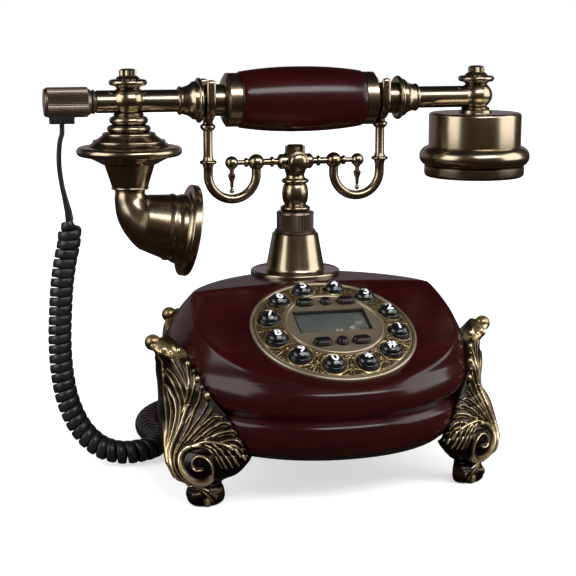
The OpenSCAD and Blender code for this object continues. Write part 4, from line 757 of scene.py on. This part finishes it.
class PHONE_OT_legs(bpy.types.Operator):
    """Four cast legs with scroll, shell and leaves in relief"""

    bl_idname = "phone.legs"
    bl_label = "Cast legs"

    def execute(self, context):
        size = context.scene.phone_detail
        for end, columns, rows in (("front", size.leg_columns, size.leg_rows),
                                   ("back", size.leg_columns * 2 // 3, size.leg_rows * 2 // 3)):
            shape, wear_and_highlight = self.shape(columns, rows, end == "back")
            for hand, side in (("left", -1), ("right", 1)):
                points = shape * np.array([side, 1, 1])
                node = "leg_%s_%s" % (end, hand)
                bm = bmesh.new()
                layer = rubbed_grid(bm, points, wear_and_highlight)[1]
                close(bm, 2 * WELD)
                tip = Vector(points[np.argmin(np.abs(points[:, columns, 2] - KNOB_Z)), columns])
                inward = Vector((-tip.x, -tip.y, 0)).normalized() * KNOB_IN
                self.ball(bm, layer, tip + inward + Vector((0, 0, KNOB_UP)), KNOB_R, 1.0, KNOB_RUB)
                for height, radius, shine in LEG_BUDS:
                    row = np.argmin(np.abs(points[:, BUD_COLUMN, 2] - height))
                    self.ball(bm, layer, Vector(points[row, BUD_COLUMN]), radius, BUD_LONG, shine)
                bmesh.ops.recalc_face_normals(bm, faces=bm.faces)
                mesh = to_mesh(bm, node + "_cast", sharp=75)
                new_piece(node + "_cast", mesh, material("cast"), "base", (node,))
        return {"FINISHED"}

    def ball(self, bm, layer, middle, radius, tall, shine):
        """A round or drawn-out bud, rubbed bright, with a painted highlight that makes it brighter towards its
        top.
        """
        place = Matrix.Translation(middle * MM) @ Matrix.Diagonal((1, 1, tall, 1))
        bud = bmesh.ops.create_uvsphere(bm, u_segments=24, v_segments=14, radius=radius * MM, matrix=place)
        for vert in bud["verts"]:
            # painted highlight: the top of each bud and knob is brighter than its underside, as if lit from
            # above
            vert[layer] = shine * (0.55 + 0.45 * (vert.co - middle * MM).z / (radius * tall * MM))

    def shape(self, columns, rows, rear):
        """Closed rings up the right leg, with the carving on its face: places and how far rubbed bright."""
        top = ROLL_Z + ROLL_H * np.sin(np.linspace(0, math.pi / 2, 16)[1:] * 0.98)
        foot, middle = np.linspace(0, FOOT_Z, rows // 7), np.linspace(FOOT_Z, ROLL_Z, rows * 6 // 7)[1:]
        z = np.concatenate([foot, middle, top])[:, None]
        a0, up0, a1, up1, swell, a2, back = [table(z) for table in LEG]
        back = back + LEG_GAP
        a0 = a0 + NOTCH_DEEP * sum(hump(z - h, NOTCH_WIDE) for h in LEG_NOTCHES)
        s = np.linspace(0, 1, columns + 1)[None, :]
        drop = np.interp(z, HANG_ZS, (0, HANG))
        lean = np.interp(z, REAR_LEAN_ZS, (1, REAR_LEAN)) if rear else 1.0

        def round_back(b):
            return 180 - b + REAR_TURN if rear else b

        def face(turned, share):
            h = z - HANG_IN * (1 - s) * drop
            up = up0 + (up1 - up0) * s + swell * 4 * s * (1 - s)
            roll = (SWELL_IN + SWELL_MORE * s) * hump(z - SWELL_Z, SWELL_WIDE)
            b = turned(a0 + (a1 - a0) * s)
            return towards(b, face_wall(b, h) + LEG_GAP + (up + roll - LEG_GAP) * share, h)

        u, v = on_pattern(face(lambda b: b, 1.0))
        height, wear_and_highlight = carving(u, v, LEG_LINES, LEG_BEADS)
        height = height + SCROLL_RISE * np.clip(1 - (u**2 + v**2) / SCROLL_SPREAD, 0, 1)
        edge = fade(s, 0, 0.025) * (1 - fade(s, 0.98, 1)) + 0 * z
        height, wear_and_highlight = height * edge, np.clip(wear_and_highlight * (0.4 + 0.6 * edge), 0, 1)
        front = face(round_back, lean)
        normal = unit(np.cross(np.gradient(front, axis=1), np.gradient(front, axis=0)))
        if (normal * front * np.array([1, 1, 0])).sum() < 0:
            normal = -normal
        front = front + normal * height[..., None]
        # the side returns to the wood in soft ribs, and the back follows the wood
        up1 = LEG_GAP + (up1 - LEG_GAP) * lean
        t = np.linspace(0, 1, 25)[None, 1:]
        b, h = round_back(a1 + (a2 - a1) * t), z - t * drop
        ribs = RIB_RISE * np.cos(2 * math.pi * RIBS * t) * fade(t, 0, 0.1) * (1 - fade(t, 0.9, 1))
        side = towards(b, (face_wall(b, h) + up1) * (1 - t) + (smooth_wall(b, h) + back + 1) * t
                       + 2 * np.sin(np.pi * t) + ribs, h)
        t = np.linspace(0, 1, 17)[None, :]
        b, h = round_back(a2 + (a0 - a2) * t), z - (1 - (1 - HANG_IN) * t) * drop
        behind = towards(b, smooth_wall(b, h) + back, h)
        points = np.concatenate([front, side, behind, front[:, :1]], axis=1)
        rubs = np.concatenate([wear_and_highlight, SIDE_RUB + 0.8 * ribs + 0 * z, BACK_RUB + 0 * (t + z), wear_and_highlight[:, :1]], axis=1)
        # the top rounds off about its middle
        middle = (0.45 * points[:, :-1].mean(axis=1) + 0.55 * front[:, -1])[:, None]
        k = np.sqrt(np.clip(1 - ((z - ROLL_Z) / ROLL_H).clip(0) ** 2, 0, 1))[:, :, None]
        points = middle + (points - middle) * np.where(z[:, :, None] < ROLL_Z, 1, k)
        points[0, :, 2] = 0.0
        points[:, :, 2] = np.maximum(points[:, :, 2], 0)
        return points, np.maximum(rubs, ROLL_RUB * hump(z - 72, 3))


# ---------------------------------------------------------------- dial
# one gap's ornament, in millimetres across the gap and outward from the ring of keys, mirrored to both sides
GAP_LINES = [
    (0.26, 0.24, 0.9, (0, -5.1), (0.7, -3.8), (1.5, -2.2), (1.6, -0.6), (0.9, 0.8), (0, 1.5)),
    (0.26, 0.24, 0.9, (0, 1.8), (1.4, 2.5), (3.1, 3), (4.5, 3.9), (4.8, 5.1), (3.9, 5.8), (3, 5.3), (3.3, 4.6)),
    (0.36, 0.24, 0.7, (0, -5.2), (1.1, -5.3), (2, -4.6), (1.8, -3.8), (1.3, -3.9)),
    (0.36, 0.24, 0.6, (0.5, 2.9), (1.5, 3.9), (2, 5.2), (1.6, 6.1)),
    (0.4, 0.34, 0.8, (0, 2.3), (0, 4.2), (0, 6)),
    (0.3, 0.22, 0.5, (0, -3.3), (0, -1.6))]
GAP_BEADS = [
    (0.5, 0.85, 1, 0, 0), (0.4, 0.6, 0.9, 0, -4.3), (0.4, 0.55, 0.9, 0, 6)]
HALO = 0.75  # half width of the dark hollow round each raised line
# the ornament's sheet: its radii, its lift off the plate, and how its edges dip into it
ORNAMENT_FROM, ORNAMENT_TO, ORNAMENT_LIFT = INNER_RING_R + 1.4, DIAL_R - 2.7, 0.04
ORNAMENT_EDGE, ORNAMENT_DIP = 0.3, 0.5
# round each key: the opening, the well and the raised ring
WELL_IN, WELL_R, WELL_DEEP = KEY_R + 0.16, KEY_R + 0.55, 0.3
RING_R, RING_WIDE, RING_RISE, RING_RUB = KEY_R + 0.95, 0.32, 0.3, 0.75
PLATE_FROM, PLATE_TO = INNER_RING_R + 1.6, DIAL_R - 2.4  # the plate's cone between its rings
# the display's dark frame, partly a bezel and partly painted shade for the window's recess: width and thickness
BEZEL_AND_SHADE_WIDE, BEZEL_AND_SHADE_THICK = 0.9, 0.45


def plate_top(r):
    """Height of the plate between its rings."""
    inner, outer = INNER_RING_H - 0.8, RIM_H - 0.3
    return outer + (inner - outer) * (PLATE_TO - r) / (PLATE_TO - PLATE_FROM)


class PHONE_OT_dial(bpy.types.Operator):
    """Cast dial plate with its ornament between the keys, display and circuit parts"""

    bl_idname = "phone.dial"
    bl_label = "Dial plate"

    def execute(self, context):
        for node, finish, slot in (
                ("dial_plate", "dial_brass", "brass_dial"), ("lcd_window", "acrylic", "clear_window"),
                ("lcd_panel", "display", "display")):
            dress(node, material(finish), sharp=30)
        self.display_bezel_and_shade()
        for node, finish, slot in (("keypad_mat", "mat", "rubber"), ("circuit_board", "board", "board")):
            dress(node, material(finish), sharp=30)
        self.ornament()
        return {"FINISHED"}

    def display_bezel_and_shade(self):
        """A thin dark frame that stands on the window's edge: partly a bezel, partly painted shade for the
        window's recess.
        """
        bm = bmesh.new()
        bmesh.ops.create_grid(bm, x_segments=1, y_segments=1, size=0.5)
        bmesh.ops.transform(bm, matrix=Matrix.Translation((0, LCD_Y * MM, LCD_TOP * MM))
                            @ Matrix.Diagonal((LCD_W * MM, LCD_H * MM, 1, 1)), verts=bm.verts)
        rim = bmesh.ops.inset_region(bm, faces=bm.faces[:], thickness=BEZEL_AND_SHADE_WIDE * MM, use_boundary=True,
                                     use_even_offset=True)
        bmesh.ops.delete(bm, geom=[f for f in bm.faces if f not in rim["faces"]], context="FACES")
        raised = bmesh.ops.extrude_face_region(bm, geom=bm.faces[:], use_keep_orig=True)["geom"]
        bmesh.ops.translate(bm, vec=(0, 0, BEZEL_AND_SHADE_THICK * MM),
                            verts=[v for v in raised if isinstance(v, bmesh.types.BMVert)])
        bmesh.ops.recalc_face_normals(bm, faces=bm.faces)
        bmesh.ops.transform(bm, matrix=DIAL_PLACE, verts=bm.verts)
        mesh = to_mesh(bm, "lcd_bezel_and_shade", smooth=False)
        new_piece("lcd_bezel_and_shade", mesh, material("black_plastic"), "base")

    def ornament(self):
        """A cast sheet over the plate, open round each key, with the same ornament in each gap."""
        r = np.linspace(ORNAMENT_FROM, ORNAMENT_TO, 66)[:, None]
        a = np.linspace(0, 360, 901)[None, :]
        half = KEY_STEP / 2
        gap, key = np.radians((a + half) % KEY_STEP - half), np.radians(a % KEY_STEP - half)
        across, outward = np.abs(r * np.sin(gap)), r * np.cos(gap) - KEY_RING_R
        height, wear_and_highlight = carving(across, outward, GAP_LINES, GAP_BEADS)
        halo = np.sqrt(carving(across, outward, [(1, HALO, 1) + line[3:] for line in GAP_LINES])[0])
        wear_and_highlight = 0.55 * (1 - halo) + halo * (0.26 + 0.5 * wear_and_highlight)
        from_key = np.hypot(r * np.sin(key), r * np.cos(key) - KEY_RING_R)
        ring = hump(from_key - RING_R, RING_WIDE)
        height, wear_and_highlight = np.maximum(height, RING_RISE * ring), np.maximum(wear_and_highlight, RING_RUB * ring)
        height = np.where(from_key < WELL_R, -WELL_DEEP, height)
        inside = (fade(r, ORNAMENT_FROM, ORNAMENT_FROM + ORNAMENT_EDGE)
                  * (1 - fade(r, ORNAMENT_TO - ORNAMENT_EDGE, ORNAMENT_TO)))
        z = plate_top(r) + ORNAMENT_LIFT + height - ORNAMENT_DIP * (1 - inside)
        bm = bmesh.new()
        verts, _ = rubbed_grid(bm, towards(a, r, z) * np.array([1, -1, 1]), wear_and_highlight)
        open_here = (from_key < WELL_IN).reshape(-1)
        bmesh.ops.delete(bm, geom=[v for v, gone in zip(list(verts), open_here) if gone], context="VERTS")
        bmesh.ops.remove_doubles(bm, verts=bm.verts, dist=2 * WELD)
        bmesh.ops.transform(bm, matrix=DIAL_PLACE, verts=bm.verts)
        bmesh.ops.recalc_face_normals(bm, faces=bm.faces)
        up = DIAL_PLACE.to_3x3() @ Vector((0, 0, 1))
        if sum(face.normal.dot(up) for face in bm.faces) < 0:
            bmesh.ops.reverse_faces(bm, faces=bm.faces)
        new_piece("dial_ornament", to_mesh(bm, "dial_ornament"), material("cast"), "base")


# the keys clockwise from the top, with their figures and letters
KEYS = [("key_4", "4", "GHI"), ("key_3", "3", "DEF"), ("key_2", "2", "ABC"), ("key_1", "1", ""),
        ("key_hash", "#", ""), ("key_star", "*", ""), ("key_0", "0", "OPER"), ("key_9", "9", "WXYZ"),
        ("key_8", "8", "TUV"), ("key_7", "7", "PQRS"), ("key_6", "6", "MNO"), ("key_5", "5", "JKL")]
DOME_R, DOME_H, DOME_Z = 4.55, 2.85, 1.4
PRINT_UP, FACET = 0.05, 0.4  # the print's height over the dome and its facets' size
BOLD = 0.00016  # how far the figures' strokes are spread, in metres
# how far up the key a print is centred, and its size
FIGURE_PRINT, STAR_PRINT, LETTERS_PRINT = (0.2, 7.0), (-1.5, 8.5), (-2.9, 1.1)


class PHONE_OT_keys(bpy.types.Operator):
    """Twelve domed digit keys with their white figures, and six function keys"""

    bl_idname = "phone.keys"
    bl_label = "Keys"

    def execute(self, context):
        z0 = plate_top(KEY_RING_R)
        skirt = [(KEY_R + 0.04, z0 - 0.1), (KEY_R + 0.04, z0 + 0.9), (KEY_R - 0.1, z0 + 1.2),
                 (DOME_R + 0.15, z0 + 1.35)]
        dome = [(DOME_R * math.cos(t), z0 + DOME_Z + DOME_H * math.sin(t))
                for t in np.linspace(0, math.pi / 2, 12)]
        for i, (node, figure, letters) in enumerate(KEYS):
            a = math.radians(KEY_STEP * (i + 0.5))
            x, y = KEY_RING_R * math.sin(a), KEY_RING_R * math.cos(a)
            dress(node, material("keys"), sharp=40)
            cap = lathe(skirt + dome, 48)
            place = DIAL_PLACE @ Matrix.Translation((x * MM, y * MM, 0))
            bmesh.ops.transform(cap, matrix=place, verts=cap.verts)
            mesh = to_mesh(cap, node + "_cap", sharp=50)
            new_piece(node + "_cap", mesh, material("keys"), BODY_OF[node])
            self.figure(node, figure, x, y, STAR_PRINT if figure == "*" else FIGURE_PRINT, "_figure")
            if letters:
                self.figure(node, letters, x, y, LETTERS_PRINT, "_letters")
        for i in range(1, 7):
            dress("function_key_%d" % i, material("keys"), sharp=40, edge=0.4)
        return {"FINISHED"}

    def figure(self, node, text, x, y, print_at, kind):
        """A printed figure, laid over the key's dome."""
        up, size = print_at
        curve = bpy.data.curves.new(node + kind, "FONT")
        curve.body = text
        curve.size = size * MM
        curve.align_x = curve.align_y = "CENTER"
        curve.offset = 0.0 if kind == "_letters" else BOLD
        curve.resolution_u = 4
        holder = bpy.data.objects.new(node + kind, curve)
        bpy.context.scene.collection.objects.link(holder)
        mesh = bpy.data.meshes.new_from_object(holder.evaluated_get(bpy.context.evaluated_depsgraph_get()))
        bpy.data.objects.remove(holder)
        bm = bmesh.new()
        bm.from_mesh(mesh)
        # small facets, so that the print can bend
        for axis in (0, 1):
            for k in range(-12, 13):
                at, way = Vector(), Vector()
                at[axis], way[axis] = k * FACET * MM, 1
                bmesh.ops.bisect_plane(bm, geom=bm.verts[:] + bm.edges[:] + bm.faces[:], dist=1e-7, plane_co=at,
                                       plane_no=way)
        for vert in bm.verts:
            px, py = vert.co.x / MM, vert.co.y / MM + up
            dome = DOME_H * math.sqrt(max(0.0, 1 - (px**2 + py**2) / DOME_R**2))
            z = plate_top(KEY_RING_R) + DOME_Z + dome + PRINT_UP
            vert.co = ((px + x) * MM, (py + y) * MM, z * MM)
        bmesh.ops.transform(bm, matrix=DIAL_PLACE, verts=bm.verts)
        new_piece(node + kind, to_mesh(bm, node + kind), material("figures"), BODY_OF[node])


# ---------------------------------------------------------------- stem, cradle, handset, small parts
TURNED = ("stem_flange", "stem_cone", "stem_collar", "cradle_post", "cradle_hub", "hook_left", "hook_right",
          "neck_left", "neck_right", "end_knob", "handset_hubs", "mouth_bell", "mouth_cup", "horn_rim",
          "mouth_grille", "ear_cup", "ear_cap")
KNURLED = ("end_knob", "stem_collar")
BELL_BEADS = ((12.4, 16.1, 0.9), (17.4, 19.7, 0.8))  # radius, distance below the handset's axis, half thickness
# the bent horn: the middle of its bend, across and up, the bend's inner radius, and its outer one by angle
BEND_X, BEND_Z, BEND_IN, BEND_END = 8.8, -45.2, 1.4, 80
BEND_OUT = curve_table([(0, 16.4), (20, 17.6), (45, 21), (65, 25), (BEND_END, 29.2)])
NECK_ROW = (0.0, -43.6, 7.6, 0.0)  # across, up, radius and turn of the section at its neck
MOUTH_AT, MOUTH_R = (25.2, -64.7), 18
HORN_BEAD, HORN_HOLLOW = (0.55, 0.66, 0.045), (-0.4, 0.8, 0.05)  # rise, place along the cone, width
# how the fork bar's ends round off: distance from the end, share of the full section
FORK_ENDS = ((0, 0.02), (0.15, 0.42), (0.6, 0.78), (1.3, 0.95), (2.2, 1.0))


class PHONE_OT_brass(bpy.types.Operator):
    """Turned brass of the stem, cradle and handset, and the wooden grip"""

    bl_idname = "phone.brass"
    bl_label = "Stem, cradle and handset"

    def execute(self, context):
        for node in TURNED:
            finish, sharp = ("knurled", 20) if node in KNURLED else ("brass", 32)
            piece = dress(node, material(finish), sharp)
            if node.startswith("hook"):
                self.fork(piece, -FORK_X if node == "hook_left" else FORK_X)
        for r, down, thick in BELL_BEADS:
            turns = np.linspace(0, 2 * math.pi, 17)
            bead = lathe([(r + thick * math.cos(t), thick * math.sin(t)) for t in turns], 96)
            place = Matrix.Translation((MOUTH_X * MM, STEM_Y * MM, (AXIS_Z - down) * MM))
            bmesh.ops.transform(bead, matrix=place, verts=bead.verts)
            name = "bell_bead_%d" % r
            new_piece(name, to_mesh(bead, name), material("brass"), BODY_OF["mouth_bell"])
        self.elbow()
        dress("grip", material("wood"), sharp=40)
        return {"FINISHED"}

    def elbow(self):
        """The bent horn, swept smoothly through the solid's own sections."""
        rows = [NECK_ROW]
        for turn in np.linspace(0, BEND_END, 41):
            out, a = float(BEND_OUT(turn)), math.radians(turn)
            middle = (BEND_IN + out) / 2
            rows.append((BEND_X - middle * math.cos(a), BEND_Z - middle * math.sin(a), (out - BEND_IN) / 2, a))
        x, z, r, a = rows[-1]
        for t in np.linspace(0, 1, 31)[1:]:
            bead = sum(rise * hump(t - at, width) for rise, at, width in (HORN_BEAD, HORN_HOLLOW))
            rows.append((x + (MOUTH_AT[0] - x) * t, z + (MOUTH_AT[1] - z) * t, r + (MOUTH_R - r) * t + bead, a))
        b = np.linspace(0, 2 * math.pi, 97)
        rings = [np.stack([MOUTH_X + x + r * np.cos(b) * math.cos(a), STEM_Y + r * np.sin(b),
                           AXIS_Z + z + r * np.cos(b) * math.sin(a)], axis=-1) for x, z, r, a in rows]
        bm = bmesh.new()
        grid_piece(bm, np.array(rings))
        close(bm)
        mesh = to_mesh(bm, "horn_elbow_finish", sharp=60)
        new_piece("horn_elbow_finish", mesh, material("brass"), BODY_OF["horn_elbow"], ("horn_elbow",))

    def fork(self, hook, x):
        """Stands a rounded bar in place of the hook's square fork."""
        bm = bmesh.new()
        bm.from_mesh(hook.data)
        below = (0, 0, (AXIS_Z - FORK_R - FORK_T / 2 + 0.4) * MM)
        bmesh.ops.bisect_plane(bm, geom=bm.verts[:] + bm.edges[:] + bm.faces[:], dist=1e-7, plane_no=(0, 0, 1),
                               plane_co=below, clear_outer=True)
        bmesh.ops.holes_fill(bm, edges=[e for e in bm.edges if e.is_boundary], sides=0)
        prong = [(FORK_R, FORK_RISE - down) for down, _ in FORK_ENDS] + [(FORK_R, 5), (FORK_R, 2.5)]
        bow = [(FORK_R * math.cos(t), -FORK_R * math.sin(t)) for t in np.linspace(0, math.pi, 33)]
        p = np.array(prong + bow + [(-y, z) for y, z in prong[::-1]])
        along = unit(np.gradient(p, axis=0))
        out = np.stack([along[:, 1], -along[:, 0]], axis=1)
        full = np.ones(len(p))
        full[: len(FORK_ENDS)] = [share for _, share in FORK_ENDS]
        full = np.minimum(full, full[::-1])[:, None]
        u, w = section(24, 0.7)
        half = full * u * FORK_T / 2
        rings = np.stack([x + full * w * FORK_W / 2, STEM_Y + p[:, :1] + half * out[:, :1],
                          AXIS_Z + p[:, 1:] + half * out[:, 1:]], axis=-1)
        grid_piece(bm, rings)
        close(bm)
        hook.data = to_mesh(bm, hook.name, sharp=32)
        hook.data.materials.append(material("brass"))


class PHONE_OT_small_parts(bpy.types.Operator):
    """Bottom plate, screws, jacks, ringer, switch, spring and capsules"""

    bl_idname = "phone.small_parts"
    bl_label = "Small parts"

    def execute(self, context):
        for node, finish, slot in (
                ("base_plate", "black_plastic", "plastic_dark"), ("fasteners", "steel", "steel"),
                ("ringer_speaker", "black_plastic", "plastic_dark"),
                ("hook_switch", "black_plastic", "plastic_dark"),
                ("line_jack", "black_plastic", "plastic_dark"), ("cord_jack", "black_plastic", "plastic_dark"),
                ("return_spring", "steel", "steel"), ("microphone", "capsule", "capsule"),
                ("ear_speaker", "capsule", "capsule")):
            dress(node, material(finish), sharp=35)
        return {"FINISHED"}


# ---------------------------------------------------------------- stage
# soft boxes: angle to the right of the front, height above the floor, distance, width, height, brightness
LAMPS = (("top_softbox", 15, 41, 0.95, 0.7, 0.28, 2.4), ("left_softbox", -78, 22, 0.72, 0.5, 0.56, 0.85),
         ("right_softbox", 70, 22, 0.72, 0.6, 0.56, 0.85))
# cards all round and above give the metal its dark bands: name, colour, place, size, the point each one faces
CARDS = (("front_card", "#4a3826", (0, -1.3, 0.7), (2.9, 1.5), (0, 0, 0.7)),
         ("left_card", "#3c2f22", (-1.3, 0, 0.7), (2.7, 1.5), (0, 0, 0.7)),
         ("right_card", "#3c2f22", (1.3, 0, 0.7), (2.7, 1.5), (0, 0, 0.7)),
         ("back_card", "#857d80", (0, 1.3, 0.3), (2.9, 0.7), (0, 0, 0.3)),
         ("upper_back_card", "#221e1f", (0, 1.3, 1.03), (2.9, 0.8), (0, 0, 1.03)),
         ("ceiling_card", "#221e1f", (0, 0, 1.4), (2.8, 2.8), (0, 0, 0)),
         ("floor_card", "#2c241e", (0, 0, 0.0006), (2.58, 2.58), (0, 0, 1)))
AIM = Vector((0, 0, 0.1))  # where the soft boxes point
WHITE = (1, 1, 1, 1)


def square(name, half):
    """A flat square on the floor."""
    bm = bmesh.new()
    bmesh.ops.create_grid(bm, x_segments=1, y_segments=1, size=half)
    piece = bpy.data.objects.new(name, to_mesh(bm, name, smooth=False))
    bpy.context.scene.collection.objects.link(piece)
    return piece


def panel(name, colour, place, size, aim):
    """A flat card that shows only in shiny surfaces, turned to face a point."""
    card = square(name, 0.5)
    card.scale = (*size, 1)
    card.location = place
    card.rotation_euler = (Vector(aim) - Vector(place)).to_track_quat("Z", "Y").to_euler()
    m = new_material(name)
    card.data.materials.append(output(m, add(m, "ShaderNodeEmission", [], [("Color", srgb(colour))])))
    for ray in ("camera", "diffuse", "transmission", "volume_scatter", "shadow"):
        setattr(card, "visible_" + ray, False)


def seen_plain(owner):
    """One for rays from the camera, from shiny surfaces and through clear ones."""
    ray = add(owner, "ShaderNodeLightPath").outputs
    seen = ray["Is Camera Ray"]
    for kind in ("Is Glossy Ray", "Is Transmission Ray"):
        seen = add(owner, "ShaderNodeMath", [(0, seen), (1, ray[kind])], operation="MAXIMUM").outputs[0]
    return seen


class PHONE_OT_stage(bpy.types.Operator):
    """Pale floor, soft lights, dark cards and camera"""

    bl_idname = "phone.stage"
    bl_label = "Studio"

    def execute(self, context):
        scene = context.scene
        studio = scene.phone_studio
        scene.view_settings.view_transform = "Standard"
        camera = bpy.data.cameras.new("camera")
        camera.lens = studio.lens
        camera.sensor_width = 36
        camera.clip_start = 0.02
        eye = bpy.data.objects.new("camera", camera)
        scene.collection.objects.link(eye)
        eye.location = studio.camera
        across = math.cos(studio.tilt)
        look = Vector((math.sin(studio.turn) * across, math.cos(studio.turn) * across, -math.sin(studio.tilt)))
        eye.rotation_euler = look.to_track_quat("-Z", "Y").to_euler()
        scene.camera = eye
        self.floor()
        world = bpy.data.worlds.new("studio")
        scene.world = world
        world.use_nodes = True
        world.node_tree.nodes.clear()
        seen = add(world, "ShaderNodeBackground", [], [("Color", WHITE), ("Strength", 1.0)])
        lit = add(world, "ShaderNodeBackground", [], [("Color", WHITE), ("Strength", studio.fill)])
        mix = add(world, "ShaderNodeMixShader",
                  [(0, seen_plain(world)), (1, lit.outputs[0]), (2, seen.outputs[0])])
        add(world, "ShaderNodeOutputWorld", [("Surface", mix.outputs[0])])
        for name, turn, rise, far, wide, high, bright in LAMPS:
            lamp = bpy.data.lights.new(name, "AREA")
            lamp.shape = "RECTANGLE"
            lamp.size, lamp.size_y = wide, high
            lamp.energy = studio.key_light * bright * wide * high
            box = bpy.data.objects.new(name, lamp)
            scene.collection.objects.link(box)
            turn, rise = math.radians(turn), math.radians(rise)
            away = far * math.cos(rise)
            box.location = AIM + Vector((away * math.sin(turn), -away * math.cos(turn), far * math.sin(rise)))
            box.rotation_euler = (AIM - box.location).to_track_quat("-Z", "Y").to_euler()
        for card in CARDS:
            panel(*card)
        return {"FINISHED"}

    def floor(self):
        """A pale card that takes the shadow and fades into plain white away from the telephone."""
        floor = square("floor", 3.0)
        m = new_material("pale_floor")
        place = add(m, "ShaderNodeTexCoord").outputs["Object"]
        away = add(m, "ShaderNodeVectorMath", [(0, place)], operation="LENGTH")
        glow = add(m, "ShaderNodeMapRange", [("Value", away.outputs["Value"])],
                   [("From Min", 0.2), ("From Max", 0.7), ("To Min", 0.6), ("To Max", 1.0)])
        shown = add(m, "ShaderNodeMath", [(0, glow.outputs[0]), (1, seen_plain(m))], operation="MULTIPLY")
        white = add(m, "ShaderNodeEmission", [("Strength", shown.outputs[0])], [("Color", WHITE)])
        card = add(m, "ShaderNodeBsdfDiffuse", [], [("Color", srgb("#e0e0e0"))])
        both = add(m, "ShaderNodeAddShader", [(0, card.outputs[0]), (1, white.outputs[0])])
        floor.data.materials.append(output(m, both))


class PHONE_PT_sidebar(bpy.types.Panel):
    """Lists the telephone's pieces and their sizes"""

    bl_idname = "PHONE_PT_sidebar"
    bl_label = "Cradle telephone"
    bl_space_type = "VIEW_3D"
    bl_region_type = "UI"
    bl_category = "Telephone"

    def draw(self, context):
        layout = self.layout
        for operator in OPERATORS:
            layout.operator(operator.bl_idname)
        for group in GROUPS:
            settings = getattr(context.scene, group)
            for name in settings.bl_rna.properties.keys():
                if name not in ("rna_type", "name"):
                    layout.prop(settings, name)


OPERATORS = [PHONE_OT_stage, PHONE_OT_cord, PHONE_OT_body, PHONE_OT_legs, PHONE_OT_dial, PHONE_OT_keys,
             PHONE_OT_brass, PHONE_OT_small_parts]
GROUPS = {"phone_studio": PhoneStudio, "phone_cord": PhoneCord, "phone_detail": PhoneDetail}


def register():
    for cls in list(GROUPS.values()) + OPERATORS + [PHONE_PT_sidebar]:
        bpy.utils.register_class(cls)
    for name, cls in GROUPS.items():
        setattr(bpy.types.Scene, name, PointerProperty(type=cls))


def unregister():
    for name in GROUPS:
        delattr(bpy.types.Scene, name)
    for cls in [PHONE_PT_sidebar] + OPERATORS[::-1] + list(GROUPS.values())[::-1]:
        bpy.utils.unregister_class(cls)


def main():
    register()
    for operator in OPERATORS:
        group, name = operator.bl_idname.split(".")
        getattr(getattr(bpy.ops, group), name)()


if __name__ == "__main__":
    main()
